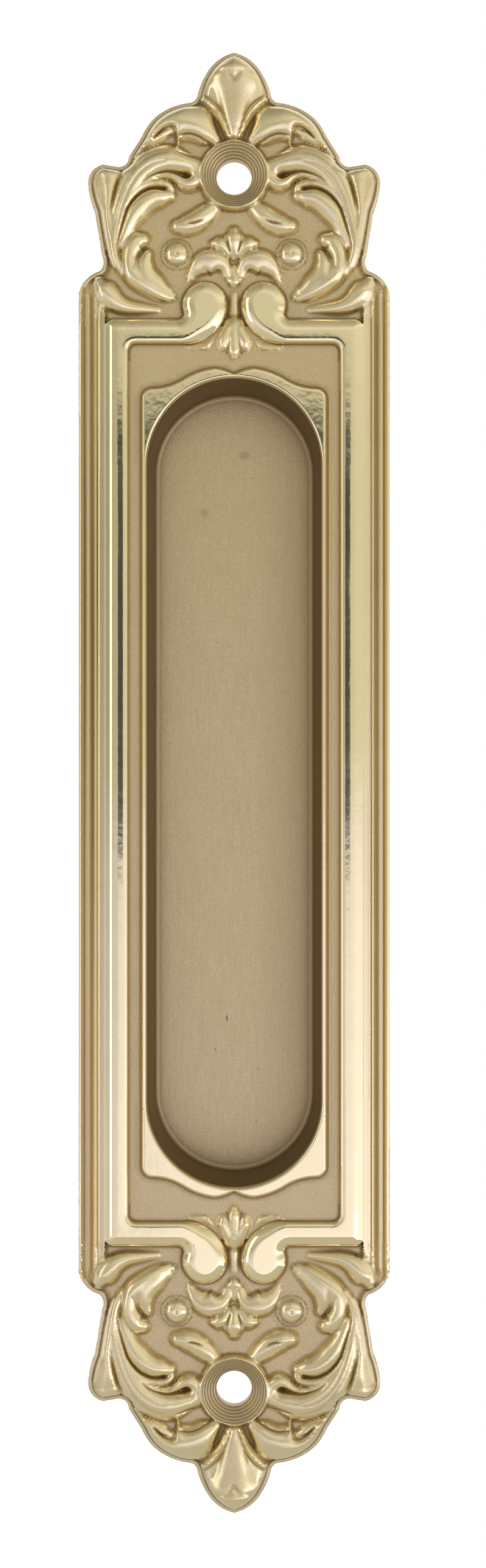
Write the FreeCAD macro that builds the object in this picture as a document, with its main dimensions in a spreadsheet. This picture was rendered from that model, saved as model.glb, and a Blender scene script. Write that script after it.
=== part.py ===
import FreeCAD
import Part
import Sketcher
import os

doc = FreeCAD.newDocument("door_pull")

# sizes of the pull in millimetres and degrees; heights are measured forward from the back face
SIZES = {
    "plate_width": 49.0,
    "body_length": 162.4,
    "crest_height": 33.8,
    "ground_height": 3.0,
    "rim_bevel": 0.8,
    "rim_width": 0.5,
    "rim_height": 1.9,
    "cove_width": 2.1,
    "cove_sag": 0.45,
    "arris_width": 0.45,
    "arris_rise": 0.3,
    "inner_cove_width": 1.35,
    "inner_cove_rise": 1.2,
    "shoulder_drop": 4.2,
    "step_over": 0.6,
    "frame_rise": 2.5,
    "frame_band": 3.5,
    "frame_drop": 8.75,
    "frame_corner": 1.2,
    "frame_bevel": 1.0,
    "neck_round": 1.0,
    "bar_width": 3.75,
    "knob_radius": 3.4,
    "knob_offset": 4.6,
    "knob_rise": 2.45,
    "recess_rise": 1.2,
    "recess_drop": 0.95,
    "recess_gap": 1.8,
    "recess_end_gap": 3.55,
    "lip_width": 1.1,
    "lip_bevel": 0.4,
    "bracket_peak": 1.85,
    "bracket_cusp": 0.9,
    "bracket_shoulder": 1.3,
    "bracket_corner": 2.0,
    "cup_depth": 14.0,
    "cup_draft": 4.0,
    "cup_wall": 1.6,
    "cup_floor": 1.5,
    "cup_floor_round": 0.8,
    "hole_rise": 14.0,
    "hole_diameter": 5.6,
    "countersink_diameter": 10.2,
    "screw_boss_rise": 1.6,
    "screw_boss_rim": 0.3,
    "bead_radius": 1.9,
    "bead_top_radius": 0.9,
    "bead_rise": 1.7,
    "leaf_root": 1.5,
    "cut_over": 4.0,
}

sheet = doc.addObject("Spreadsheet::Sheet", "Sizes")
for row, name in enumerate(SIZES, start=1):
    sheet.set("A%d" % row, name)
    sheet.set("B%d" % row, str(SIZES[name]))
    sheet.setAlias("B%d" % row, name)
doc.recompute()


def size(name):
    return float(sheet.get(name))


def point(across, along):
    return FreeCAD.Vector(across, along, 0)


# the crest is drawn at this size and stretched to the crest of the plate
DRAWN_WIDTH = 49.0
DRAWN_HEIGHT = 33.8
stretch_x = size("plate_width") / DRAWN_WIDTH
stretch_z = size("crest_height") / DRAWN_HEIGHT
stretch_mean = (stretch_x + stretch_z) / 2
crest_foot = size("body_length") / 2


def crest(across, along):
    return point(across * stretch_x, crest_foot + along * stretch_z)


# share of a corner radius between the corner and the middle of its arc, and half a square's diagonal
ARC_PART = 0.293
SQUARE_HALF = 0.7071

# places that several features share
half_width = size("plate_width") / 2
moulding = size("rim_width") + size("cove_width") + size("arris_width") + size("inner_cove_width")
frame_outer = half_width - moulding
frame_inner = frame_outer - size("frame_band")
frame_top = crest_foot - size("frame_drop")
bar_inner = frame_top - size("bar_width")
surround_half = frame_inner - size("recess_gap")
cup_half = surround_half - size("lip_width")
cup_end = bar_inner - size("recess_end_gap") - size("bracket_peak")
face_height = size("ground_height") + size("frame_rise")
hole_along = crest_foot + size("hole_rise")
shoulder_end = crest_foot - size("shoulder_drop")


def attach(body, name, role, forward="0 mm"):
    sketch = body.newObject("Sketcher::SketchObject", name)
    plane = [item for item in body.Origin.OriginFeatures if item.Role == role][0]
    sketch.AttachmentSupport = [(plane, "")]
    sketch.MapMode = "FlatFace"
    sketch.setExpression("AttachmentOffset.Base.z", forward)
    return sketch


def draw(sketch, edges):
    for edge in edges:
        index = sketch.addGeometry(edge)
        sketch.addConstraint(Sketcher.Constraint("Block", index))


def line(start, end):
    return Part.LineSegment(start, end)


def arc(start, middle, end):
    return Part.ArcOfCircle(start, middle, end)


def flip_x(spot):
    return point(-spot.x, spot.y)


def flip_z(spot):
    return point(spot.x, -spot.y)


def chain(start, steps):
    # a run of arcs and lines: each step is the middle of an arc, or None for a line, and an end
    edges = []
    for middle, end in steps:
        edges.append(arc(start, middle, end) if middle else line(start, end))
        start = end
    return edges


def flipped(flip, steps):
    return [(flip(middle) if middle else None, flip(end)) for middle, end in steps]


def four_ways(start, steps):
    # the quarter outline from top centre to the right side, closed by its three mirror images
    left = flipped(flip_x, steps)
    low_right = flipped(flip_z, steps)
    low_left = flipped(flip_z, left)
    edges = chain(start, steps) + chain(start, left)
    edges += chain(flip_z(start), low_right) + chain(flip_z(start), low_left)
    edges.append(line(steps[-1][1], low_right[-1][1]))
    edges.append(line(left[-1][1], low_left[-1][1]))
    return edges


def pad(body, name, sketch, length, reverse=False, taper=None):
    feature = body.newObject("PartDesign::Pad", name)
    feature.Profile = sketch
    feature.setExpression("Length", length)
    feature.Reversed = reverse
    if taper:
        feature.setExpression("TaperAngle", taper)
    doc.recompute()
    return feature


def edges_on(feature, test):
    names = []
    for number, edge in enumerate(feature.Shape.Edges, start=1):
        box = edge.BoundBox
        middle = edge.valueAt((edge.FirstParameter + edge.LastParameter) / 2)
        if test(box, middle):
            names.append("Edge%d" % number)
    return names


def at_height(height):
    return lambda box, middle: abs(box.YMin + height) < 0.001 and abs(box.YMax + height) < 0.001


def fillet(body, name, base, edges, radius):
    feature = body.newObject("PartDesign::Fillet", name)
    feature.Base = (base, edges)
    feature.setExpression("Radius", radius)
    doc.recompute()
    return feature


def chamfer(body, name, base, edges, width):
    feature = body.newObject("PartDesign::Chamfer", name)
    feature.Base = (base, edges)
    feature.setExpression("Size", width)
    doc.recompute()
    return feature


def mirror(source, name, normal):
    feature = doc.addObject("Part::Mirroring", name)
    feature.Source = source
    feature.Normal = normal
    return feature


def fuse(name, shapes):
    feature = doc.addObject("Part::MultiFuse", name)
    feature.Shapes = shapes
    return feature


# the plate: outline of two crests joined by straight sides
plate = doc.addObject("PartDesign::Body", "plate")
outline = attach(plate, "outline", "XZ_Plane")
silhouette = four_ways(crest(0, 33.8), [
    (crest(2.3, 32.8), crest(4.2, 30.8)),
    (crest(5.2, 28.9), crest(5.8, 27.0)),
    (crest(6.2, 26.3), crest(7.0, 25.9)),
    (crest(10.3, 25.0), crest(12.8, 23.3)),
    (crest(13.8, 22.0), crest(14.6, 20.5)),
    (None, crest(16.6, 17.4)),
    (crest(17.1, 16.2), crest(18.2, 15.8)),
    (None, crest(20.6, 16.2)),
    (crest(22.4, 15.1), crest(23.0, 13.1)),
    (crest(22.6, 10.7), crest(21.9, 8.6)),
    (None, crest(20.8, 1.8)),
    (crest(20.6, 0.5), crest(21.2, -0.6)),
    (crest(23.4, -2.0), point(half_width, shoulder_end)),
])
draw(outline, silhouette)
base = pad(plate, "base", outline, "Sizes.rim_height")

def inset(edges, margin):
    # the same outline drawn smaller by the margin all round
    run = Part.Wire(Part.sortEdges([edge.toShape() for edge in edges])[0])
    smaller = []
    for edge in run.makeOffset2D(-margin).Edges:
        first = edge.valueAt(edge.FirstParameter)
        middle = edge.valueAt((edge.FirstParameter + edge.LastParameter) / 2)
        last = edge.valueAt(edge.LastParameter)
        if isinstance(edge.Curve, Part.Circle):
            smaller.append(arc(first, middle, last))
        else:
            smaller.append(line(first, last))
    return smaller


# inside the low rim the plate rises to the ground that carries the carving
ground_outline = attach(plate, "ground_outline", "XZ_Plane")
draw(ground_outline, inset(silhouette, size("rim_bevel")))
field = pad(plate, "field", ground_outline, "Sizes.ground_height")

# side mouldings: a cove outside, a thin arris and an inner cove that climbs to the frame
cove_out = half_width - size("rim_width")
cove_in = cove_out - size("cove_width")
arris_in = cove_in - size("arris_width")
ground = size("ground_height")
rim = size("rim_height")
arris_top = ground + size("arris_rise")
climb_top = ground + size("inner_cove_rise")
past = half_width + size("cut_over")
above = ground + size("cut_over")
cove_sketch = attach(plate, "cove_profile", "XY_Plane")
step_sketch = attach(plate, "step_profile", "XY_Plane")
for side in (1, -1):
    dip = (rim + ground) / 2 - size("cove_sag")
    cove = [
        line(point(side * cove_in, -above), point(side * cove_in, -ground)),
        arc(point(side * cove_in, -ground), point(side * (cove_in + cove_out) / 2, -dip),
            point(side * cove_out, -rim + size("rim_bevel") / 4)),
        line(point(side * cove_out, -rim + size("rim_bevel") / 4), point(side * cove_out, -rim)),
        line(point(side * cove_out, -rim), point(side * past, -rim)),
        line(point(side * past, -rim), point(side * past, -above)),
        line(point(side * past, -above), point(side * cove_in, -above)),
    ]
    draw(cove_sketch, cove)
    foot = ground - size("leaf_root")
    wall = frame_outer - size("frame_bevel")
    sag = (ground + climb_top) / 2 - size("inner_cove_rise") / 6
    steps = [
        line(point(side * cove_in, -foot), point(side * cove_in, -arris_top)),
        line(point(side * cove_in, -arris_top), point(side * arris_in, -arris_top)),
        line(point(side * arris_in, -arris_top), point(side * arris_in, -ground)),
        arc(point(side * arris_in, -ground), point(side * (arris_in + frame_outer) / 2, -sag),
            point(side * frame_outer, -climb_top)),
        line(point(side * frame_outer, -climb_top), point(side * wall, -climb_top)),
        line(point(side * wall, -climb_top), point(side * wall, -foot)),
        line(point(side * wall, -foot), point(side * cove_in, -foot)),
    ]
    draw(step_sketch, steps)
doc.recompute()
cove_cut = plate.newObject("PartDesign::Pocket", "side_coves")
cove_cut.Profile = cove_sketch
cove_cut.Midplane = True
cove_cut.setExpression("Length", "Sizes.body_length - 2 * Sizes.shoulder_drop")
doc.recompute()
step_pad = plate.newObject("PartDesign::Pad", "side_steps")
step_pad.Profile = step_sketch
step_pad.Midplane = True
step_pad.setExpression("Length", "Sizes.body_length - 2 * Sizes.frame_drop + 2 * Sizes.step_over")
doc.recompute()

# floor of the recess between the frame and the cup, a step above the ground of the crests
recess_sketch = attach(plate, "recess_outline", "XZ_Plane")
recess_half = frame_inner + size("frame_band") / 2
recess_end = frame_top - size("recess_drop")
recess_right = point(recess_half, recess_end)
recess_left = flip_x(recess_right)
draw(recess_sketch, [
    line(recess_right, recess_left),
    line(recess_left, flip_z(recess_left)),
    line(flip_z(recess_left), flip_z(recess_right)),
    line(flip_z(recess_right), recess_right),
])
recess = pad(plate, "recess_floor", recess_sketch, "Sizes.ground_height + Sizes.recess_rise")

# raised surround of the finger cup with a bracket shaped end
surround_sketch = attach(plate, "surround_outline", "XZ_Plane")
peak = cup_end + size("bracket_peak")
cusp = cup_end + size("bracket_cusp")
low = cup_end - size("bracket_shoulder")
corner = size("bracket_corner")
crown = peak - low
bracket = four_ways(point(0, cusp), [
    (point(cup_half * 0.1, peak - crown / 8), point(cup_half * 0.22, peak)),
    (point(cup_half * 0.38, peak - crown / 7), point(cup_half * 0.58, low + crown / 2.1)),
    (point(cup_half * 0.76, low + crown / 9), point(surround_half - corner, low)),
    (point(surround_half - corner * ARC_PART, low - corner * ARC_PART), point(surround_half, low - corner)),
])
draw(surround_sketch, bracket)
surround = pad(plate, "cup_surround", surround_sketch, "Sizes.ground_height + Sizes.frame_rise")


def stadium(sketch, radius, straight, radius_rule, straight_rule):
    top = sketch.addGeometry(Part.ArcOfCircle(point(radius, straight), point(0, straight + radius),
                                              point(-radius, straight)))
    left = sketch.addGeometry(line(point(-radius, straight), point(-radius, -straight)))
    bottom = sketch.addGeometry(Part.ArcOfCircle(point(-radius, -straight), point(0, -straight - radius),
                                                 point(radius, -straight)))
    right = sketch.addGeometry(line(point(radius, -straight), point(radius, straight)))
    ends = ((top, 2, left, 1), (left, 2, bottom, 1), (bottom, 2, right, 1), (right, 2, top, 1))
    for first, first_end, second, second_end in ends:
        sketch.addConstraint(Sketcher.Constraint("Tangent", first, first_end, second, second_end))
    sketch.addConstraint(Sketcher.Constraint("PointOnObject", top, 3, -2))
    sketch.addConstraint(Sketcher.Constraint("Vertical", left))
    sketch.addConstraint(Sketcher.Constraint("Symmetric", top, 3, bottom, 3, -1, 1))
    by_radius = sketch.addConstraint(Sketcher.Constraint("Radius", top, radius))
    sketch.setExpression("Constraints[%d]" % by_radius, radius_rule)
    by_length = sketch.addConstraint(Sketcher.Constraint("DistanceY", bottom, 3, top, 3, 2 * straight))
    sketch.setExpression("Constraints[%d]" % by_length, straight_rule)


CUP_HALF_RULE = (
    "Sizes.plate_width / 2 - Sizes.rim_width - Sizes.cove_width - Sizes.arris_width"
    " - Sizes.inner_cove_width - Sizes.frame_band - Sizes.recess_gap - Sizes.lip_width"
)
CUP_END_RULE = (
    "Sizes.body_length / 2 - Sizes.frame_drop - Sizes.bar_width - Sizes.recess_end_gap"
    " - Sizes.bracket_peak"
)
STRAIGHT_RULE = "2 * (%s) - 2 * (%s)" % (CUP_END_RULE, CUP_HALF_RULE)
straight = cup_end - cup_half

# the cup: a drafted boss behind the plate, hollowed from the front
boss_sketch = attach(plate, "cup_boss_outline", "XZ_Plane")
stadium(boss_sketch, cup_half + size("cup_wall"), straight,
        CUP_HALF_RULE + " + Sizes.cup_wall", STRAIGHT_RULE)
BOSS_RULE = "Sizes.cup_depth + Sizes.cup_floor - Sizes.ground_height - Sizes.frame_rise"
boss = pad(plate, "cup_boss", boss_sketch, BOSS_RULE, True, "-Sizes.cup_draft")

mouth_sketch = attach(plate, "cup_mouth", "XZ_Plane", "Sizes.ground_height + Sizes.frame_rise")
stadium(mouth_sketch, cup_half, straight, CUP_HALF_RULE, STRAIGHT_RULE)
hollow = plate.newObject("PartDesign::Pocket", "cup_hollow")
hollow.Profile = mouth_sketch
hollow.setExpression("Length", "Sizes.cup_depth")
hollow.setExpression("TaperAngle", "-Sizes.cup_draft")
doc.recompute()
floor_height = face_height - size("cup_depth")
floor_round = fillet(plate, "cup_floor_round", hollow, edges_on(hollow, at_height(floor_height)),
                     "Sizes.cup_floor_round")


def on_mouth(box, middle):
    at_side = abs(abs(middle.x) - cup_half) < 0.001
    at_end = abs(abs(middle.z) - cup_end) < 0.001
    return at_height(face_height)(box, middle) and (at_side or at_end)


lip_edge = chamfer(plate, "lip_edge", floor_round, edges_on(floor_round, on_mouth), "Sizes.lip_bevel")

# a low boss round each screw, and a countersunk hole through it
screw_boss_sketch = attach(plate, "screw_boss_outline", "XZ_Plane")
hole_sketch = attach(plate, "screw_centres", "XZ_Plane", "Sizes.ground_height + Sizes.screw_boss_rise")
HOLE_RULE = "Sizes.body_length / 2 + Sizes.hole_rise"
for turn_up in (1, -1):
    for sketch, radius, rule in (
        (screw_boss_sketch, size("countersink_diameter") / 2 + size("screw_boss_rim"),
         "Sizes.countersink_diameter / 2 + Sizes.screw_boss_rim"),
        (hole_sketch, size("hole_diameter") / 2, "Sizes.hole_diameter / 2"),
    ):
        circle = Part.Circle(point(0, turn_up * hole_along), FreeCAD.Vector(0, 0, 1), radius)
        ring = sketch.addGeometry(circle)
        by_radius = sketch.addConstraint(Sketcher.Constraint("Radius", ring, radius))
        sketch.setExpression("Constraints[%d]" % by_radius, rule)
        sketch.addConstraint(Sketcher.Constraint("PointOnObject", ring, 3, -2))
        ends = (-1, 1, ring, 3) if turn_up > 0 else (ring, 3, -1, 1)
        by_height = sketch.addConstraint(Sketcher.Constraint("DistanceY", *ends, hole_along))
        sketch.setExpression("Constraints[%d]" % by_height, HOLE_RULE)
doc.recompute()
screw_boss = pad(plate, "screw_boss", screw_boss_sketch, "Sizes.ground_height + Sizes.screw_boss_rise")
hole = plate.newObject("PartDesign::Hole", "screw_holes")
hole.Profile = hole_sketch
hole.DepthType = "ThroughAll"
hole.setExpression("Diameter", "Sizes.hole_diameter")
hole.HoleCutType = "Countersink"
hole.HoleCutCustomValues = True
hole.setExpression("HoleCutDiameter", "Sizes.countersink_diameter")
hole.HoleCutCountersinkAngle = 90
doc.recompute()
plate.Tip = hole
doc.recompute()


# one half of the polished frame: a side band with a bar and a round knob at each end
scroll = doc.addObject("PartDesign::Body", "frame_scroll")
scroll_sketch = attach(scroll, "scroll_outline", "XZ_Plane", "Sizes.ground_height - Sizes.leaf_root")
knob_x = size("knob_offset")
knob_z = frame_top + size("knob_rise")
knob_r = size("knob_radius")
sweep = size("knob_rise") + size("bar_width")
sweep_x = knob_x - knob_r + sweep
turn = size("frame_corner")
# the knob runs into the bar through a small round that touches both
neck_r = size("neck_round")
neck_up = size("knob_rise") - neck_r
neck_out = ((knob_r + neck_r) ** 2 - neck_up ** 2) ** 0.5
neck_share = knob_r / (knob_r + neck_r)
neck_centre = point(knob_x + neck_out, frame_top + neck_r)
neck = point(knob_x + neck_out * neck_share, knob_z - neck_up * neck_share)
bar_start = point(neck_centre.x, frame_top)
bow = (neck + bar_start) * 0.5 - neck_centre
neck_middle = neck_centre + bow * (neck_r / bow.Length)
upper = [
    point(frame_outer, frame_top - turn),
    point(frame_outer - turn * ARC_PART, frame_top - turn * ARC_PART),
    point(frame_outer - turn, frame_top),
]
neck_run = [bar_start, neck_middle, neck]
knob_run = [neck, point(knob_x, knob_z + knob_r), point(knob_x - knob_r, knob_z)]
sweep_run = [
    point(knob_x - knob_r, knob_z),
    point(sweep_x - sweep * SQUARE_HALF, knob_z - sweep * SQUARE_HALF),
    point(sweep_x, bar_inner),
]
lower = [
    point(frame_inner - turn, bar_inner),
    point(frame_inner - turn * ARC_PART, bar_inner - turn * ARC_PART),
    point(frame_inner, bar_inner - turn),
]


def frame_end(turned):
    runs = [[turned(spot) for spot in run] for run in (upper, neck_run, knob_run, sweep_run, lower)]
    edges = [arc(*run) for run in runs]
    edges.append(line(runs[0][2], runs[1][0]))
    edges.append(line(runs[3][2], runs[4][0]))
    return edges


def same(spot):
    return spot


frame_edges = frame_end(same) + frame_end(flip_z)
frame_edges.append(line(upper[0], flip_z(upper[0])))
frame_edges.append(line(lower[2], flip_z(lower[2])))
draw(scroll_sketch, frame_edges)
scroll_pad = pad(scroll, "scroll_pad", scroll_sketch, "Sizes.frame_rise + Sizes.leaf_root")
scroll_edge = chamfer(scroll, "scroll_edge", scroll_pad, edges_on(scroll_pad, at_height(face_height)),
                      "Sizes.frame_bevel")
scroll.Tip = scroll_edge
doc.recompute()
other_scroll = mirror(scroll, "frame_scroll_left", FreeCAD.Vector(1, 0, 0))
doc.recompute()


# cross sections of a leaf as shares of its half width and of its rise
ROUND = ((-1.0, 0.0), (-0.6, 0.72), (0.0, 1.0), (0.6, 0.72), (1.0, 0.0))
RIDGE = ((-1.0, 0.0), (0.0, 1.0), (1.0, 0.0))


def leaf(name, profile, stations, seat=0.0):
    # a blade chiselled through stations: across, along, half width, rise above its seat, lean of the ridge
    spine = Part.BSplineCurve()
    spine.interpolate([crest(spot[0], spot[1]) for spot in stations])
    sections = []
    for across, along, half, rise, lean in stations:
        middle = crest(across, along)
        tangent = spine.tangent(spine.parameter(middle))[0]
        side = FreeCAD.Vector(tangent.y, -tangent.x, 0) * half * stretch_mean
        root = ground - size("leaf_root")
        corners = [FreeCAD.Vector(middle.x - side.x, -root, middle.y - side.y)]
        for share, part in profile:
            spot = middle + side * (share + lean * part * part)
            corners.append(FreeCAD.Vector(spot.x, -ground - seat - rise * part, spot.y))
        corners.append(FreeCAD.Vector(middle.x + side.x, -root, middle.y + side.y))
        sections.append(Part.makePolygon(corners + corners[:1]))
    feature = doc.addObject("Part::Feature", name)
    feature.Shape = Part.makeLoft(sections, True, True, False)
    return feature


# carving of the right half of the top crest, named as a carver would
side_leaves = [
    leaf("crown_leaf", ROUND, [
        (2.7, 19.6, 1.3, 1.0, 0), (4.4, 21.3, 1.9, 1.7, 0.2), (7.4, 22.4, 2.2, 2.0, 0.3),
        (10.5, 22.2, 1.3, 1.9, 0.2), (12.6, 20.4, 0.9, 1.6, 0), (14.4, 17.8, 0.4, 0.7, 0)]),
    leaf("crown_curl", RIDGE, [
        (6.2, 21.3, 0.9, 1.0, 0), (8.4, 20.6, 1.1, 1.4, 0), (9.8, 19.8, 0.6, 0.7, 0)]),
    leaf("middle_leaf", ROUND, [
        (5.7, 15.0, 1.6, 1.3, 0), (8.2, 15.8, 1.8, 1.8, 0.2), (10.9, 16.3, 2.1, 2.0, 0.2),
        (13.6, 15.4, 2.2, 2.2, 0.2), (16.0, 12.7, 2.2, 2.2, 0.1), (17.6, 8.6, 1.6, 1.9, 0),
        (18.6, 1.4, 0.8, 1.0, 0)]),
    leaf("middle_curl", RIDGE, [
        (5.7, 13.6, 1.0, 1.2, 0), (6.6, 12.2, 1.2, 1.5, 0), (8.4, 12.7, 1.1, 1.3, 0),
        (10.4, 13.6, 0.7, 0.8, 0), (12.3, 13.7, 0.4, 0.3, 0)]),
    leaf("second_finger", ROUND, [
        (10.0, 10.9, 1.2, 1.0, 0), (12.1, 10.6, 1.6, 1.6, 0.2), (14.2, 9.5, 1.6, 1.8, 0.2),
        (15.9, 7.4, 1.4, 1.6, 0.1), (17.8, 2.0, 0.5, 0.6, 0)]),
    leaf("ear", ROUND, [
        (20.5, 14.2, 1.3, 1.1, 0), (20.3, 12.2, 1.3, 1.7, -0.4), (19.9, 8.5, 0.9, 1.4, -0.3),
        (19.0, 0.8, 0.5, 0.8, 0)]),
    leaf("c_leaf", ROUND, [
        (14.0, 4.3, 1.0, 0.9, 0), (15.8, 3.2, 1.6, 1.6, 0.2), (16.7, 0.4, 1.4, 1.8, 0.2),
        (15.2, -2.9, 1.4, 1.7, 0.1), (12.6, -4.7, 1.1, 1.3, 0), (9.8, -5.7, 0.6, 0.8, 0)]),
    leaf("c_leaf_lobe", RIDGE, [
        (13.5, 1.6, 0.6, 0.7, 0), (13.8, -0.2, 1.2, 1.3, 0), (13.0, -2.2, 1.3, 1.3, 0),
        (11.3, -3.6, 0.9, 1.0, 0), (9.4, -4.2, 0.4, 0.5, 0)]),
    leaf("shoulder_leaf", RIDGE, [
        (21.2, -2.2, 1.0, 0.9, 0), (20.0, -4.3, 1.3, 1.4, 0), (18.3, -5.9, 1.0, 1.3, 0),
        (15.6, -6.9, 0.8, 1.0, 0), (12.3, -7.3, 0.5, 0.5, 0)]),
    leaf("bar_leaf", RIDGE, [
        (2.9, 9.6, 0.9, 0.9, 0), (4.9, 7.8, 1.4, 1.4, 0), (7.2, 6.4, 1.4, 1.4, 0), (9.0, 5.9, 0.9, 0.9, 0)]),
    leaf("side_petal", RIDGE, [
        (3.4, 3.4, 0.5, 0.7, 0), (2.2, 3.3, 0.9, 1.0, 0), (1.1, 2.5, 0.8, 0.8, 0), (0.5, 1.2, 0.5, 0.5, 0)]),
    leaf("fan_petal", RIDGE, [
        (0.8, -1.6, 0.7, 0.6, 0), (1.6, 0.0, 1.1, 1.0, 0), (3.3, 0.8, 1.4, 1.2, -0.2),
        (5.1, 0.4, 1.3, 1.2, -0.2), (6.5, -1.3, 0.7, 0.6, 0)]),
    leaf("finial_petal", RIDGE, [
        (0.9, 19.8, 0.6, 1.1, 0), (2.0, 22.9, 1.0, 1.8, 0), (3.4, 24.9, 0.9, 1.8, 0),
        (4.6, 25.8, 0.5, 0.9, 0)]),
    leaf("flower_petal", RIDGE, [
        (0.8, -10.6, 0.6, 0.3, 0), (1.6, -12.3, 1.0, 0.6, 0), (1.9, -13.6, 0.7, 0.4, 0)],
        size("recess_rise")),
]
middle_leaves = [
    leaf("finial", ROUND, [
        (0, 20.3, 1.2, 0.6, 0), (0, 24.0, 2.6, 1.4, 0), (0, 27.8, 4.0, 1.9, 0),
        (0, 30.4, 3.1, 1.8, 0), (0, 32.4, 1.2, 0.7, 0)]),
    leaf("tongue", RIDGE, [
        (0, 20.2, 0.7, 1.2, 0), (0, 23.0, 1.4, 1.9, 0), (0, 26.0, 2.1, 2.3, 0),
        (0, 29.0, 2.9, 2.6, 0), (0, 31.4, 2.0, 1.7, 0)]),
    leaf("bud", RIDGE, [
        (0, 5.6, 0.7, 0.6, 0), (0, 4.0, 1.5, 1.2, 0), (0, 2.4, 1.0, 1.0, 0), (0, 1.1, 0.4, 0.4, 0)]),
    leaf("drop", RIDGE, [(0, -0.4, 0.5, 0.4, 0), (0, -2.0, 1.0, 0.9, 0), (0, -3.6, 0.6, 0.5, 0)]),
    leaf("stem", RIDGE, [(0, -4.6, 0.5, 0.4, 0), (0, -7.0, 0.8, 0.8, 0), (0, -10.2, 0.8, 0.5, 0)]),
    leaf("flower", RIDGE, [(0, -9.8, 0.9, 0.4, 0), (0, -12.6, 1.2, 0.8, 0), (0, -14.6, 0.7, 0.4, 0)],
         size("recess_rise")),
]
doc.recompute()

# round bead beside the palmette
bead_spot = crest(9.2, 1.6)
LOOK_FRONT = FreeCAD.Rotation(FreeCAD.Vector(1, 0, 0), 90)


def rod(name, spot, radius, length, start=0.0):
    # a round rod that runs forward from the start height
    feature = doc.addObject("Part::Cylinder", name)
    feature.setExpression("Radius", radius)
    feature.setExpression("Height", length)
    feature.Placement = FreeCAD.Placement(FreeCAD.Vector(spot.x, -start, spot.y), LOOK_FRONT)
    return feature


bead = doc.addObject("Part::Cone", "bead")
bead.setExpression("Radius1", "Sizes.bead_radius")
bead.setExpression("Radius2", "Sizes.bead_top_radius")
bead.setExpression("Height", "Sizes.bead_rise")
bead.Placement = FreeCAD.Placement(FreeCAD.Vector(bead_spot.x, -ground, bead_spot.y), LOOK_FRONT)

ACROSS = FreeCAD.Vector(1, 0, 0)
ALONG = FreeCAD.Vector(0, 0, 1)
right_carving = fuse("right_carving", side_leaves + [bead])
left_carving = mirror(right_carving, "left_carving", ACROSS)
all_leaves = fuse("all_leaves", middle_leaves + [right_carving, left_carving])
# the leaves stop at the boss, so that a screw head seats freely
head_room = rod("screw_head_room", point(0, hole_along),
                "Sizes.countersink_diameter / 2 + Sizes.screw_boss_rim / 2",
                "Sizes.ground_height + Sizes.cut_over")
top_crest = doc.addObject("Part::Cut", "top_crest")
top_crest.Base = all_leaves
top_crest.Tool = head_room
bottom_crest = mirror(top_crest, "bottom_crest", ALONG)
doc.recompute()
pull = fuse("door_pull", [plate, scroll, other_scroll, top_crest, bottom_crest])
doc.recompute()

for item in doc.Objects:
    if "Invalid" in item.State or "Error" in item.State:
        raise RuntimeError("feature failed: " + item.Name)
if pull.Shape.isNull() or not pull.Shape.isValid() or len(pull.Shape.Solids) != 1:
    raise RuntimeError("the pull is not one sound solid")

os.makedirs("parts", exist_ok=True)
pull.Shape.Solids[0].exportStep("parts/" + pull.Label + ".step")
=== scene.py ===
import math

import bpy
import numpy as np
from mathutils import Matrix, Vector
from mathutils.geometry import delaunay_2d_cdt


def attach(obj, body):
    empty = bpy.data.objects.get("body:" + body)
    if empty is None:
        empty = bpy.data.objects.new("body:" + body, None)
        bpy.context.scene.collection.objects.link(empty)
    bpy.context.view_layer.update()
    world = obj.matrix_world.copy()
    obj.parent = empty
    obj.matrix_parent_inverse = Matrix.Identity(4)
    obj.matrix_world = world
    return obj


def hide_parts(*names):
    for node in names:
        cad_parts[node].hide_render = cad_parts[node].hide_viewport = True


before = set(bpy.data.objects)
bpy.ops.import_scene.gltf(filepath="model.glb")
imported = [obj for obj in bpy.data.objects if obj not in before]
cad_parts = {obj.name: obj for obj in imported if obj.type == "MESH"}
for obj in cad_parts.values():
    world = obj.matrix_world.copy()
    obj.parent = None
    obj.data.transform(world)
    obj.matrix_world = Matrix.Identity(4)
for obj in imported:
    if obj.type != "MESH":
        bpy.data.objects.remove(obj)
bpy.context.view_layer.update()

MM = 0.001

# sizes shared with the CAD part, in millimetres; heights are measured forward from the back face
HALF_WIDTH = 24.5
CREST_FOOT = 81.2
SHOULDER = 77.0
GROUND = 3.0
RECESS = 4.2
RECESS_END = 71.5
FACE = 5.5
FRAME_OUTER = 20.1
FRAME_INNER = 16.6
FRAME_MIDDLE = (FRAME_OUTER + FRAME_INNER) / 2
FRAME_TOP = 72.45
FRAME_CORNER = 1.2
BAR_INNER = 68.7
KNOB = (4.6, 74.9, 3.4)
NECK_ROUND = 1.0
SURROUND_HALF = 14.8
CUP_HALF = 13.7
CUP_END = 63.3
CUP_STRAIGHT = CUP_END - CUP_HALF
CUP_DEPTH = 14.0
CUP_DRAFT = math.tan(math.radians(4.0))
CUP_FLOOR_ROUND = 0.8
CUP_BACK = 10.0
BOSS_R = 15.3
BACK_ROUND = 0.6
LIP = 0.35
HOLE_Z = 95.2
HOLE_R = 2.8
SINK_R = 5.1
BOSS_TOP = 4.6

# sizes of the finer modelling, in millimetres
CROWN = 0.03
RIM_FOOT = 1.15
RIM_WIDE = 0.45
CREASE = 0.85
CREASE_H = 1.65
MOULDING_WIDE = 4.4
SLOPE_TOP = 5.1
SLOPE_WIDE = 0.45
BEAD = (9.0, 83.35)
BEAD_R = 1.9
LEAF_ROOT = 2.6
LEAF_ROUND = 0.6
LEAF_SPREAD = 1.28

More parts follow.
